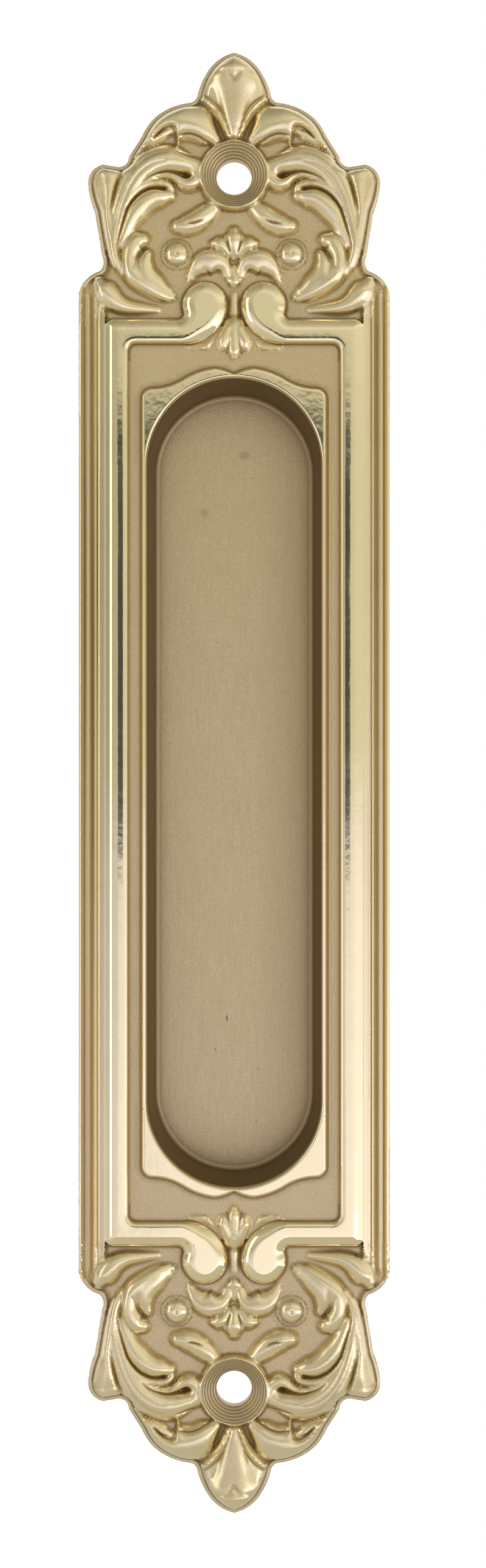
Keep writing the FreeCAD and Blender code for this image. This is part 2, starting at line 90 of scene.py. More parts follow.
# spacing of the mesh; the straight middle ends where the mouth of the cup starts to turn
SPLIT_Z = CUP_STRAIGHT
ROWS = np.linspace(0, SPLIT_Z, 11)
FINE = 0.2515
OUTLINE_STEP = 0.3
CUP_STEP = 0.45
SIDE_STEP = 0.6
MIDDLE_STEP = 0.22
BACK_STEP = 3.0
SEAM = 1e-3
WELD = 2e-6

# polish, and patina with painted shade, of the back
BACK_LOOK = (0.1, 0.3)

# the floor of the cup lies between these depths, in metres
CUP_FLOOR_SPAN = (0.0078, 0.0092)

# the carving was drawn over the photograph; its drawing sits this much higher than the part
DRAWN_LIFT = 0.5


def arc(a, m, b, step):
    """Points from a to b on the circle through a, m and b, without the first."""
    (ax, ay), (bx, by), (cx, cy) = a, m, b
    d = 2 * (ax * (by - cy) + bx * (cy - ay) + cx * (ay - by))
    sa, sb, sc = ax * ax + ay * ay, bx * bx + by * by, cx * cx + cy * cy
    ux = (sa * (by - cy) + sb * (cy - ay) + sc * (ay - by)) / d
    uy = (sa * (cx - bx) + sb * (ax - cx) + sc * (bx - ax)) / d
    r = math.hypot(ax - ux, ay - uy)
    t0 = math.atan2(ay - uy, ax - ux)
    tm = math.atan2(by - uy, bx - ux)
    t1 = math.atan2(cy - uy, cx - ux)
    full = 2 * math.pi
    turn = (t1 - t0) % full
    if (tm - t0) % full > turn:
        turn -= full
    n = max(2, math.ceil(abs(turn) * r / step))
    turns = [t0 + turn * i / n for i in range(1, n + 1)]
    return [(ux + r * math.cos(t), uy + r * math.sin(t)) for t in turns]


def line(a, b, step):
    """Points from a to b, without the first."""
    n = max(1, math.ceil(math.dist(a, b) / step))
    return [(a[0] + (b[0] - a[0]) * i / n, a[1] + (b[1] - a[1]) * i / n) for i in range(1, n + 1)]


def run(start, steps, step):
    """An outline of arcs and lines; each step has the middle of an arc, or None, and an end."""
    pts = [start]
    for mid, end in steps:
        pts += arc(pts[-1], mid, end, step) if mid else line(pts[-1], end, step)
    return pts


def crest(x, v):
    """A point of the crest, measured up from its foot."""
    return (x, CREST_FOOT + v)


def silhouette(step):
    """Right half of the top crest, from its tip to the straight side."""
    return run(crest(0, 33.8), [
        (crest(2.3, 32.8), crest(4.2, 30.8)),
        (crest(5.2, 28.9), crest(5.8, 27.0)),
        (crest(6.2, 26.3), crest(7.0, 25.9)),
        (crest(10.3, 25.0), crest(12.8, 23.3)),
        (crest(13.8, 22.0), crest(14.6, 20.5)),
        (None, crest(16.6, 17.4)),
        (crest(17.1, 16.2), crest(18.2, 15.8)),
        (None, crest(20.6, 16.2)),
        (crest(22.4, 15.1), crest(23.0, 13.1)),
        (crest(22.6, 10.7), crest(21.9, 8.6)),
        (None, crest(20.8, 1.8)),
        (crest(20.6, 0.5), crest(21.2, -0.6)),
        (crest(23.4, -2.0), (HALF_WIDTH, SHOULDER)),
    ], step)


def scroll_outline(step):
    """Upper half of the right frame scroll, closed along z = 0."""
    kx, kz, kr = KNOB
    rise = kz - FRAME_TOP
    up = rise - NECK_ROUND
    out = math.sqrt((kr + NECK_ROUND) ** 2 - up * up)
    share = kr / (kr + NECK_ROUND)
    cx, cz = kx + out, FRAME_TOP + NECK_ROUND
    neck = (kx + out * share, kz - up * share)
    bx, bz = (neck[0] + cx) / 2 - cx, (neck[1] + FRAME_TOP) / 2 - cz
    k = NECK_ROUND / math.hypot(bx, bz)
    sweep = kz - BAR_INNER
    sx = kx - kr + sweep
    q = math.sqrt(0.5)
    c = FRAME_CORNER * (1 - q)
    return run((FRAME_OUTER, 0.0), [
        (None, (FRAME_OUTER, FRAME_TOP - FRAME_CORNER)),
        ((FRAME_OUTER - c, FRAME_TOP - c), (FRAME_OUTER - FRAME_CORNER, FRAME_TOP)),
        (None, (cx, FRAME_TOP)),
        ((cx + bx * k, cz + bz * k), neck),
        ((kx, kz + kr), (kx - kr, kz)),
        ((sx - sweep * q, kz - sweep * q), (sx, BAR_INNER)),
        (None, (FRAME_INNER - FRAME_CORNER, BAR_INNER)),
        ((FRAME_INNER - c, BAR_INNER - c), (FRAME_INNER, BAR_INNER - FRAME_CORNER)),
        (None, (FRAME_INNER, 0.0)),
    ], step)


def bracket_outline(step):
    """Upper right quarter of the cup surround's foot, from the cusp to z = 0."""
    peak, low, c = CUP_END + 1.85, CUP_END - 1.3, 2.0
    return run((0.0, CUP_END + 0.9), [
        ((CUP_HALF * 0.1, peak - 0.35), (CUP_HALF * 0.22, peak)),
        ((CUP_HALF * 0.38, peak - 0.45), (CUP_HALF * 0.58, low + 1.5)),
        ((CUP_HALF * 0.76, low + 0.35), (SURROUND_HALF - c, low)),
        ((SURROUND_HALF - c * 0.293, low - c * 0.293), (SURROUND_HALF, low - c)),
        (None, (SURROUND_HALF, 0.0)),
    ], step)


def quarter_ring(radius, n):
    """Quarter circle round the end of the cup, from the top centre to the right."""
    turns = [math.pi / 2 * i / n for i in range(n + 1)]
    return [(radius * math.sin(t), CUP_STRAIGHT + radius * math.cos(t)) for t in turns]


def mouth(radius):
    """Quarter circle with points a step apart."""
    return quarter_ring(radius, math.ceil(radius * math.pi / 2 / CUP_STEP))


def stadium_ring(radius):
    """Quarter of a stadium down to z = 0, with the same count of points at every radius."""
    n = math.ceil((CUP_HALF + LIP) * math.pi / 2 / CUP_STEP)
    return quarter_ring(radius, n) + [(radius, z) for z in ROWS[::-1][1:]]


def half_ring(radius, n=49):
    """Right half of a circle round the screw hole, from its bottom to its top."""
    return [(radius * math.sin(a), HOLE_Z - radius * math.cos(a)) for a in np.linspace(0, math.pi, n)]


def level(ring, h, polish, patina_and_painted_shade):
    """Corners of a ring at one height, with one look."""
    return [(x, z, h, polish, patina_and_painted_shade) for x, z in ring]


def nearest(px, pz, path):
    """Distance of each point from a path, its place along it and its side (1 left, -1 right)."""
    path = np.asarray(path, float)
    seg = np.diff(path, axis=0)
    length = np.hypot(seg[:, 0], seg[:, 1])
    start = np.concatenate([[0], np.cumsum(length)])
    best = np.full(px.shape, 1e9)
    along = np.zeros(px.shape)
    side = np.ones(px.shape)
    for i in range(len(seg)):
        dx, dz = px - path[i, 0], pz - path[i, 1]
        t = np.clip((dx * seg[i, 0] + dz * seg[i, 1]) / max(length[i] ** 2, 1e-12), 0, 1)
        ex, ez = dx - t * seg[i, 0], dz - t * seg[i, 1]
        d = np.hypot(ex, ez)
        near = d < best
        best = np.where(near, d, best)
        along = np.where(near, (start[i] + t * length[i]) / start[-1], along)
        side = np.where(near, np.where(seg[i, 0] * dz - seg[i, 1] * dx >= 0, 1.0, -1.0), side)
    return best, along, side


def inside(px, pz, loop):
    """True where a point is inside a closed loop."""
    loop = np.asarray(loop, float)
    hit = np.zeros(px.shape, bool)
    for (ax, az), (bx, bz) in zip(loop, np.roll(loop, -1, axis=0)):
        if az == bz:
            continue
        hit ^= ((az > pz) != (bz > pz)) & (px < (bx - ax) * (pz - az) / (bz - az) + ax)
    return hit


def smooth_step(v):
    v = np.clip(v, 0, 1)
    return v * v * (3 - 2 * v)


def smooth_max(a, b, k):
    """The larger of two heights, with a fillet of width k."""
    h = np.clip(0.5 + 0.5 * (b - a) / k, 0, 1)
    return a * (1 - h) + b * h + k * h * (1 - h)


def spline(pts, step=0.25):
    """A smooth curve through rows of numbers whose first two are x and z; the rest are carried along."""
    p = np.asarray(pts, float)
    p = np.vstack([2 * p[0] - p[1], p, 2 * p[-1] - p[-2]])
    out = []
    for i in range(1, len(p) - 2):
        n = max(2, math.ceil(math.dist(p[i, :2], p[i + 1, :2]) / step))
        for t in np.linspace(0, 1, n, endpoint=False):
            a, b, c, d = p[i - 1], p[i], p[i + 1], p[i + 2]
            out.append(0.5 * (2 * b + (c - a) * t + (2 * a - 5 * b + 4 * c - d) * t * t
                              + (3 * b - a - 3 * c + d) * t ** 3))
    out.append(p[-2])
    return np.array(out)


# leaves of the right half of the top crest: x, z, width left, width right, height of the ridge
LEAVES = {
    "finial": [
        (0, 101.5, 1.0, 1.0, 3.5), (0, 105.0, 2.6, 2.6, 3.9), (0, 108.6, 4.7, 4.7, 4.1),
        (0, 111.0, 4.0, 4.0, 4.5), (0, 112.6, 2.7, 2.7, 4.7), (0, 113.4, 1.6, 1.6, 4.3),
    ],
    "tongue": [
        (0, 102.1, 0.7, 0.7, 4.3), (0, 104.0, 1.45, 1.45, 4.7), (0, 105.5, 1.85, 1.85, 4.95),
        (0, 107.0, 2.2, 2.2, 5.1), (0, 108.5, 2.6, 2.6, 5.2), (0, 110.0, 3.2, 3.2, 5.3),
        (0, 111.2, 3.3, 3.3, 5.35), (0, 112.2, 2.6, 2.6, 5.3),
    ],
    "tongue lip": [
        (0, 112.25, 0.75, 0.75, 5.5), (1.2, 112.35, 0.7, 0.7, 5.45), (2.2, 112.3, 0.45, 0.45, 5.0),
    ],
    "finial petal": [
        (0.9, 101.8, 0.4, 0.4, 4.3), (1.6, 103.5, 0.5, 0.5, 4.7), (2.4, 105.1, 0.6, 0.6, 4.9),
        (3.4, 106.4, 0.65, 0.6, 4.8), (4.5, 107.4, 0.55, 0.5, 4.4), (5.3, 108.0, 0.35, 0.35, 3.8),
    ],
    "crown leaf": [
        (2.9, 101.3, 0.8, 1.0, 4.3), (4.2, 102.3, 1.7, 1.85, 4.75), (5.6, 103.2, 2.8, 2.05, 5.0),
        (7.4, 103.85, 2.6, 2.4, 5.1), (8.7, 104.05, 2.4, 2.95, 5.1), (9.3, 104.05, 2.2, 1.7, 5.05),
        (9.9, 103.95, 2.0, 0.95, 5.0), (11.2, 103.5, 1.6, 0.85, 4.9), (12.5, 102.4, 1.25, 0.7, 4.7),
        (13.4, 101.2, 0.9, 0.6, 4.4), (14.3, 100.2, 0.6, 0.45, 4.0), (15.4, 98.9, 0.4, 0.3, 3.4),
    ],
    "crown under": [
        (9.9, 102.7, 0.4, 0.6, 3.9), (10.9, 102.35, 0.5, 0.9, 4.15), (12.0, 101.7, 0.5, 1.0, 4.15),
        (13.1, 100.9, 0.45, 0.8, 3.95), (14.1, 100.2, 0.3, 0.4, 3.6),
    ],
    "middle leaf": [
        (5.9, 97.1, 1.1, 1.4, 4.4), (7.8, 97.6, 1.5, 1.7, 4.85), (9.8, 98.0, 2.15, 2.0, 5.05),
        (12.0, 97.8, 2.0, 2.25, 5.2), (14.0, 96.8, 2.0, 2.4, 5.25), (15.6, 95.2, 2.0, 2.4, 5.2),
        (16.9, 93.0, 1.8, 2.0, 5.05), (17.8, 90.6, 1.5, 1.6, 4.9), (18.5, 88.0, 1.1, 1.2, 4.7),
        (18.8, 85.5, 0.9, 0.9, 4.6), (18.7, 83.4, 0.85, 0.8, 4.45), (18.2, 81.7, 0.7, 0.7, 4.2),
        (17.4, 80.2, 0.5, 0.5, 3.7),
    ],
    "middle curl": [
        (6.3, 96.6, 1.0, 1.0, 4.4), (5.9, 95.6, 1.0, 1.0, 4.45), (6.2, 94.7, 1.05, 1.05, 4.55),
        (7.1, 94.25, 1.1, 1.1, 4.6), (8.0, 94.5, 0.9, 0.9, 4.55), (8.8, 95.1, 0.7, 0.7, 4.5),
        (9.8, 95.55, 0.55, 0.55, 4.45), (11.0, 95.65, 0.5, 0.5, 4.4), (12.3, 95.35, 0.45, 0.45, 4.35),
        (13.5, 94.8, 0.35, 0.35, 4.2),
    ],
    "finger lip": [
        (9.75, 93.5, 0.6, 0.6, 4.05), (10.5, 94.1, 0.75, 0.7, 4.35), (12.0, 94.35, 0.7, 0.8, 4.55),
        (13.7, 94.0, 0.8, 0.8, 4.65), (15.2, 92.9, 0.9, 0.9, 4.75), (16.3, 91.5, 0.9, 0.8, 4.75),
        (17.1, 89.8, 0.8, 0.7, 4.65), (17.8, 87.5, 0.7, 0.55, 4.5), (18.2, 85.3, 0.5, 0.45, 4.3),
    ],
    "second finger": [
        (10.0, 92.5, 0.85, 0.95, 4.2), (11.3, 92.4, 1.2, 1.55, 4.7), (12.8, 92.1, 1.5, 1.7, 4.9),
        (14.3, 91.2, 1.6, 1.8, 4.95), (15.5, 89.9, 1.5, 1.8, 4.85), (16.4, 88.3, 1.2, 1.4, 4.65),
        (17.1, 86.6, 0.9, 1.05, 4.45), (17.7, 84.8, 0.6, 0.7, 4.2),
    ],
    "ear": [
        (19.5, 95.3, 2.2, 1.7, 4.4), (19.6, 93.6, 2.5, 1.4, 4.7), (19.7, 91.5, 1.8, 1.0, 4.75),
        (19.7, 89.0, 1.05, 0.8, 4.65), (19.4, 86.3, 0.85, 0.7, 4.55), (18.9, 83.8, 0.8, 0.7, 4.35),
        (18.3, 81.8, 0.7, 0.7, 4.1), (17.5, 80.2, 0.5, 0.5, 3.7),
    ],
    "c leaf": [
        (14.3, 85.6, 1.05, 1.05, 4.4), (15.3, 85.3, 1.4, 1.6, 4.75), (16.1, 84.2, 1.3, 1.6, 4.9),
        (16.5, 82.7, 1.15, 1.5, 4.9), (16.4, 81.2, 1.15, 1.7, 4.9), (15.8, 79.9, 1.3, 2.1, 4.9),
        (14.6, 78.8, 1.25, 2.5, 4.8), (13.0, 77.8, 1.15, 2.2, 4.55), (11.5, 77.0, 1.0, 1.7, 4.2),
        (10.2, 76.5, 0.7, 1.1, 3.7),
    ],
    "c leaf lobe": [
        (13.6, 83.2, 0.8, 0.9, 4.3), (14.0, 82.0, 1.2, 1.4, 4.6), (14.0, 80.6, 1.4, 1.6, 4.75),
        (13.2, 79.4, 1.5, 1.6, 4.65), (12.0, 78.4, 1.3, 1.5, 4.35), (10.6, 77.6, 0.9, 0.9, 3.8),
    ],
    "shoulder leaf": [
        (21.2, 78.8, 0.8, 1.1, 4.1), (20.5, 77.8, 1.3, 1.7, 4.6), (19.4, 76.6, 1.5, 1.7, 4.6),
        (18.2, 75.7, 1.4, 1.4, 4.4), (16.6, 75.1, 1.1, 1.1, 4.1), (14.5, 74.8, 0.8, 0.9, 3.8),
        (12.0, 74.6, 0.5, 0.6, 3.4),
    ],
    "bar leaf": [
        (2.8, 91.2, 1.0, 1.0, 4.0), (4.3, 89.8, 1.45, 1.45, 4.45), (6.0, 88.5, 1.6, 1.6, 4.6),
        (7.7, 87.8, 1.5, 1.5, 4.6), (8.8, 87.7, 1.1, 1.1, 4.4),
    ],
    "bud": [
        (0, 86.8, 0.9, 0.9, 4.2), (0, 86.1, 1.5, 1.5, 4.5), (0, 85.1, 1.4, 1.4, 4.55),
        (0, 83.9, 1.0, 1.0, 4.2), (0, 82.9, 0.45, 0.45, 3.7),
    ],
    "side petal": [
        (3.3, 85.0, 0.6, 0.6, 4.05), (2.5, 85.0, 1.15, 1.1, 4.35), (1.7, 84.5, 1.0, 1.0, 4.3),
        (0.8, 83.3, 0.5, 0.5, 3.8),
    ],
    "fan petal": [
        (0.9, 80.2, 0.6, 0.9, 3.7), (1.3, 81.6, 0.8, 1.6, 4.1), (2.4, 82.6, 1.1, 2.6, 4.4),
        (4.0, 82.9, 1.2, 3.0, 4.45), (5.3, 82.4, 1.1, 2.7, 4.35), (6.2, 81.3, 0.9, 1.9, 4.1),
        (6.9, 80.0, 0.6, 1.0, 3.6),
    ],
    "drop": [
        (0, 81.5, 0.3, 0.3, 3.4), (0, 80.0, 0.6, 0.6, 3.6), (0, 79.2, 1.0, 1.0, 3.8),
    ],
    "stem": [
        (0, 77.0, 0.6, 0.6, 3.3), (0, 74.8, 0.9, 0.9, 3.5), (0, 72.0, 1.0, 1.0, 3.5),
    ],
    "flower": [
        (0, 71.6, 1.9, 1.9, 4.75), (0, 70.6, 2.0, 2.0, 4.9), (0, 69.5, 2.1, 2.1, 5.0),
        (0, 68.4, 1.6, 1.6, 5.1), (0, 67.6, 1.0, 1.0, 5.05), (0, 67.1, 0.7, 0.7, 4.8),
    ],
    "flower petal": [
        (1.0, 71.5, 0.9, 0.9, 4.8), (1.35, 70.5, 1.1, 1.1, 4.95), (1.7, 69.5, 1.1, 1.0, 5.05),
        (1.65, 68.8, 0.95, 0.85, 4.95),
    ],
    "sprig": [
        (3.6, 69.4, 0.5, 0.35, 4.4), (4.4, 68.6, 0.9, 0.4, 4.6), (5.4, 68.35, 1.1, 0.4, 4.6),
        (6.5, 68.4, 0.9, 0.35, 4.5), (7.6, 68.7, 0.5, 0.3, 4.35),
    ],
}

# chased lines: x, z, half width, depth
GROOVES = {
    "crown lip": [
        (3.5, 100.25, 0.14, 0.35), (4.3, 100.9, 0.14, 0.5), (5.3, 101.55, 0.14, 0.5),
        (6.3, 101.95, 0.14, 0.5), (7.2, 102.1, 0.14, 0.5), (8.2, 101.95, 0.14, 0.4),
        (8.9, 101.75, 0.12, 0.15),
    ],
    "crown notch": [
        (9.1, 103.1, 0.14, 0.25), (10.2, 103.2, 0.15, 0.55), (11.0, 102.85, 0.15, 0.6),
        (11.8, 102.2, 0.15, 0.5), (12.6, 101.4, 0.13, 0.2),
    ],
    "crown valley": [
        (6.2, 98.5, 0.2, 0.4), (7.2, 98.8, 0.2, 0.6), (8.2, 99.1, 0.2, 0.6), (9.1, 99.25, 0.15, 0.3),
    ],
    "slit": [
        (7.5, 95.75, 0.32, 1.1), (8.6, 96.0, 0.2, 0.8), (9.6, 96.2, 0.16, 0.6),
        (10.6, 96.25, 0.15, 0.6), (11.6, 96.0, 0.15, 0.55), (12.6, 95.65, 0.14, 0.45),
        (13.6, 95.05, 0.14, 0.35), (14.5, 94.2, 0.12, 0.12),
    ],
    "flute 1": [
        (10.6, 99.1, 0.25, 0.1), (12.0, 98.9, 0.25, 0.18), (13.4, 98.3, 0.25, 0.22),
        (15.0, 97.0, 0.25, 0.22), (16.5, 95.0, 0.25, 0.22), (17.5, 92.8, 0.22, 0.2),
        (18.4, 90.0, 0.2, 0.15), (19.0, 87.0, 0.16, 0.08),
    ],
    "flute 2": [
        (10.8, 97.7, 0.25, 0.08), (12.5, 97.3, 0.25, 0.16), (14.2, 96.3, 0.25, 0.2),
        (15.5, 94.9, 0.25, 0.2), (16.7, 92.8, 0.22, 0.2), (17.6, 90.4, 0.2, 0.16),
        (18.3, 87.6, 0.16, 0.1), (18.6, 85.5, 0.14, 0.05),
    ],
    "finger": [
        (10.8, 93.55, 0.26, 0.8), (12.0, 93.72, 0.2, 0.7), (13.0, 93.6, 0.16, 0.6),
        (14.0, 93.2, 0.16, 0.65), (15.0, 92.5, 0.17, 0.75), (16.0, 91.4, 0.17, 0.75),
        (16.7, 90.2, 0.16, 0.65), (17.2, 88.8, 0.15, 0.55), (17.6, 87.5, 0.14, 0.45),
        (18.0, 86.0, 0.13, 0.35), (18.3, 84.2, 0.12, 0.15),
    ],
    "ear": [
        (17.6, 95.9, 0.22, 0.3), (18.3, 94.3, 0.22, 0.45), (18.8, 92.5, 0.22, 0.42),
        (19.2, 90.8, 0.2, 0.3), (19.45, 89.3, 0.15, 0.12),
    ],
    "ear hollow": [
        (21.2, 95.2, 0.75, 0.3), (21.0, 93.6, 0.75, 0.5), (20.6, 91.8, 0.5, 0.4),
        (20.4, 90.3, 0.3, 0.15),
    ],
    "c leaf": [
        (13.9, 84.1, 0.25, 0.2), (14.6, 83.5, 0.28, 0.4), (15.1, 82.6, 0.24, 0.3),
        (15.5, 81.7, 0.2, 0.18), (16.0, 80.9, 0.15, 0.1),
    ],
    "bar leaf": [
        (4.9, 88.6, 0.15, 0.15), (5.7, 88.3, 0.16, 0.4), (6.6, 88.05, 0.15, 0.4),
        (7.4, 88.1, 0.12, 0.12),
    ],
    "tongue hollow": [
        (0, 103.5, 0.7, 0.15), (0, 106.0, 1.2, 0.3), (0, 108.0, 1.6, 0.35), (0, 109.6, 1.9, 0.3),
    ],
    "tongue tip": [
        (0.0, 110.5, 0.3, 0.35), (0.5, 111.1, 0.3, 0.35), (1.0, 111.6, 0.25, 0.2),
    ],
    "bud seam": [
        (1.25, 86.0, 0.14, 0.2), (1.0, 84.9, 0.14, 0.3), (0.6, 83.6, 0.12, 0.2),
    ],
    "flower seam": [
        (0.5, 70.6, 0.2, 0.05), (0.75, 69.6, 0.2, 0.16), (1.0, 68.4, 0.18, 0.28),
        (1.15, 67.7, 0.16, 0.2),
    ],
}

# small stains and pits of the casting: x, z, half width, half height, strength
STAINS = [
    (1.6, 52.7, 1.3, 0.9, 0.35), (-4.8, 43.4, 0.9, 1.1, 0.3), (-1.2, -37.9, 0.26, 0.7, 0.8),
    (-3.1, -42.9, 0.2, 0.35, 0.6), (3.8, -46.0, 0.18, 0.25, 0.6), (3.5, -54.5, 0.18, 0.2, 0.5),
    (2.95, 49.1, 0.18, 0.2, 0.6), (-7.3, -71.8, 0.2, 0.22, 0.6), (-6.3, -72.2, 0.16, 0.2, 0.6),
    (-22.1, 12.0, 0.3, 52.0, 0.6), (-23.4, 30.0, 0.26, 44.0, 0.6), (-21.4, 35.0, 0.2, 34.0, 0.5),
]

# side moulding from the edge inward: distance from the edge, height
MOULDING = [
    (0.5, 1.84), (0.7, 1.72), (0.88, 1.38), (1.05, 1.22), (1.3, 1.22), (1.65, 1.38), (1.95, 1.68),
    (2.2, 2.2), (2.36, 2.7), (2.46, 2.84), (2.56, 3.2), (2.7, 3.42), (2.86, 3.44), (2.98, 3.32),
    (3.06, 3.18), (3.2, 3.22), (3.45, 3.38), (3.7, 3.6), (3.95, 3.86), (4.15, 4.1), (4.3, 4.3),
    (4.4, 4.44),
]

# polish of the side moulding: distance from the edge, polish
SHINE = [
    (0.0, 0.8), (0.8, 0.8), (1.0, 0.45), (2.3, 0.5), (2.6, 0.75), (2.9, 0.75), (3.1, 0.45), (3.4, 0.7),
    (MOULDING_WIDE, 0.9),
]

# light of the room by height of view, from 0 straight down to 1 straight up
ROOM_LIGHT = [
    (0.0, 0.75), (0.25, 1.2), (0.39, 1.22), (0.44, 1.1), (0.488, 0.95), (0.505, 0.72), (0.56, 0.68),
    (0.60, 0.8), (0.7, 0.9), (0.85, 0.65), (1.0, 0.45),
]
# how far the room is dimmed, from 0 at the left to 1 at the right
SIDE_LIGHT = [(0.0, 0.6), (0.3, 0.74), (0.47, 0.74), (0.487, 0.97), (0.9, 1.12)]
WHITE = (1, 1, 1, 1)

# camera: height of the sensor, distance from the face and height of the view, in millimetres
SENSOR = 24.0
CAMERA_AWAY = 430.0
VIEW_TALL = 244.87


def lifted(rows):
    """Rows of the drawing, moved to the place of the part."""
    return [(r[0], r[1] - DRAWN_LIFT) + tuple(r[2:]) for r in rows]


OUTLINE = silhouette(OUTLINE_STEP)
SCROLL = scroll_outline(OUTLINE_STEP)
BRACKET = bracket_outline(OUTLINE_STEP)
LEAF_CURVES = {name: spline(lifted(rows)) for name, rows in LEAVES.items()}
GROOVE_CURVES = {name: spline(lifted(rows)) for name, rows in GROOVES.items()}
PROFILE = spline(MOULDING, 0.05)


def quarter_round(t):
    """Rises from 0 to 1 like a quarter circle while t goes from 0 to 1."""
    return np.sqrt(np.clip(1 - (1 - np.clip(t, 0, 1)) ** 2, 0, 1))


def rim_round(d):
    """Height of the rim at a distance from the edge of the plate."""
    up = RIM_FOOT + 0.75 * quarter_round(d / RIM_WIDE)
    return up - 0.25 * np.clip((d - RIM_WIDE) / 0.4, 0, 1) ** 2


def boxed(px, pz, curve, margin):
    """True where a point is in the box round a curve."""
    low = curve[:, :2].min(axis=0) - margin
    high = curve[:, :2].max(axis=0) + margin
    return (px > low[0]) & (px < high[0]) & (pz > low[1]) & (pz < high[1])


def depth_inside(px, pz, path, loop):
    """Distance of each point from a path, below 0 outside the loop."""
    d, _, _ = nearest(px, pz, path)
    return np.where(inside(px, pz, loop), d, -d)


def stations(curve, along, columns):
    """Numbers carried by a curve, at places along it from 0 to 1."""
    seg = np.hypot(*np.diff(curve[:, :2], axis=0).T)
    place = np.concatenate([[0], np.cumsum(seg)]) / seg.sum()
    return [np.interp(along, place, curve[:, i]) for i in columns]


def ground_and_mouldings(px, pz, d):
    """Round rim, crease and ground of the crest, and the side mouldings that fade into it."""
    field = CREASE_H + (GROUND - CREASE_H) * smooth_step((d - CREASE) / 1.1)
    crest_h = np.where(d < CREASE, rim_round(d), field)
    u = HALF_WIDTH - px
    side_h = np.where(u < MOULDING[0][0], rim_round(u), np.interp(u, PROFILE[:, 0], PROFILE[:, 1]))
    side_h = np.where(u > MOULDING_WIDE, GROUND, side_h)
    fade = np.interp(u, (0.0, 2.2, 2.8, MOULDING_WIDE), (SHOULDER, 76.0, 74.5, 73.0))
    side = 1 - smooth_step((pz - fade) / 3.0)
    h = crest_h + (side_h - crest_h) * side
    shine = np.interp(u, [at for at, _ in SHINE], [value for _, value in SHINE])
    polish = np.where(d < CREASE, 0.4, 0.0)
    return h, np.maximum(polish, np.where(u < MOULDING_WIDE, shine, 0.0) * side)


def add_recess(px, pz, h):
    """Floor of the recess between the frame and the cup, a step above the ground."""
    recess = smooth_step((FRAME_MIDDLE - px) / 0.1 + 0.5)
    recess = recess * smooth_step((RECESS_END - pz) / 0.22 + 0.5)
    return np.where(recess > 0, np.maximum(h, GROUND + (RECESS - GROUND) * recess), h)


def add_frame(px, pz, h, polish):
    """The frame scrolls, slightly crowned: a soft flank outside and a tight round inside."""
    s = depth_inside(px, pz, SCROLL, SCROLL)
    inner = smooth_step((px - 5.0) / 3.5) * (px < FRAME_MIDDLE) * (pz < (FRAME_TOP + BAR_INNER) / 2)
    width = 1.7 - 1.1 * inner
    drop = 0.95 - 0.5 * inner
    away = 1 - np.clip(s / width, 0, 1)
    tight = 1 - quarter_round(s / width)
    top = FACE - drop * (away ** 2 + (tight - away ** 2) * inner)
    top -= CROWN * (1 - np.clip(s / 1.75, 0, 1)) ** 2
    wall = FACE - drop - CROWN + (FACE - drop - 2.4) * s / 0.34
    h = smooth_max(h, np.where(s >= 0, top, np.maximum(wall, 0)), 0.12)
    return h, np.maximum(polish, smooth_step((s + 0.15) / 0.2))


def add_surround(px, pz, h, polish):
    """The bracket-ended surround of the cup: a slope and a rounded lip."""
    b = depth_inside(px, pz, BRACKET, BRACKET + [(0.0, 0.0)])
    slope = RECESS + (SLOPE_TOP - RECESS) * np.clip(b / SLOPE_WIDE, -9, 1)
    lip = SLOPE_TOP + 0.4 * quarter_round((b - SLOPE_WIDE) / 0.3)
    h = smooth_max(h, np.where(b < SLOPE_WIDE, slope, lip), 0.12)
    return h, np.maximum(polish, smooth_step((b - 0.25) / 0.2))


def add_leaves(px, pz, d, h, polish):
    """The leaves, which round down to the crease inside the rim; changes h and polish in place."""
    cap = 1.7 + 3.7 * quarter_round((d - 0.8) / 2.4)
    cap = np.where(d < 0.8, 0.0, cap) + 9.0 * smooth_step((76.5 - pz) / 2.0)
    for curve in LEAF_CURVES.values():
        near = boxed(px, pz, curve, 5.0)
        dist, along, side = nearest(px[near], pz[near], curve[:, :2])
        left, right, ridge = stations(curve, along, (2, 3, 4))
        t = np.clip(dist / np.where(side > 0, left, right) / LEAF_SPREAD, 0, 1)
        root = np.minimum(LEAF_ROOT, h[near] - 0.4)
        leaf_h = root + (ridge - root) * (1 - t * t) ** LEAF_ROUND
        leaf_h = np.minimum(leaf_h, cap[near])
        shine = 0.72 * smooth_step((leaf_h - h[near] + 0.25) / 0.4) * smooth_step((leaf_h - 2.9) / 0.5)
        polish[near] = np.maximum(polish[near], shine)
        h[near] = smooth_max(h[near], leaf_h, 0.42)


def add_bead(px, pz, h, polish):
    """The bead: a dome with a dimple, on a ringed disc."""
    r = np.hypot(px - BEAD[0], pz - BEAD[1] + DRAWN_LIFT)
    disc = 3.25 - 0.8 * np.clip((r - 2.35) / 0.3, 0, 4) + 0.2 * np.exp(-((r - 2.15) / 0.2) ** 2)
    dome = 3.2 + 1.15 * np.sqrt(np.clip(1 - (r / BEAD_R) ** 2, 0, 1)) - 0.3 * np.exp(-(r / 0.22) ** 2)
    h = smooth_max(smooth_max(h, disc, 0.15), np.where(r < BEAD_R, dome, 0), 0.15)
    h += 0.12 * np.exp(-((r - 2.75) / 0.14) ** 2) * (h < 3.4)
    return h, np.maximum(polish, 0.8 * (r < 1.45))


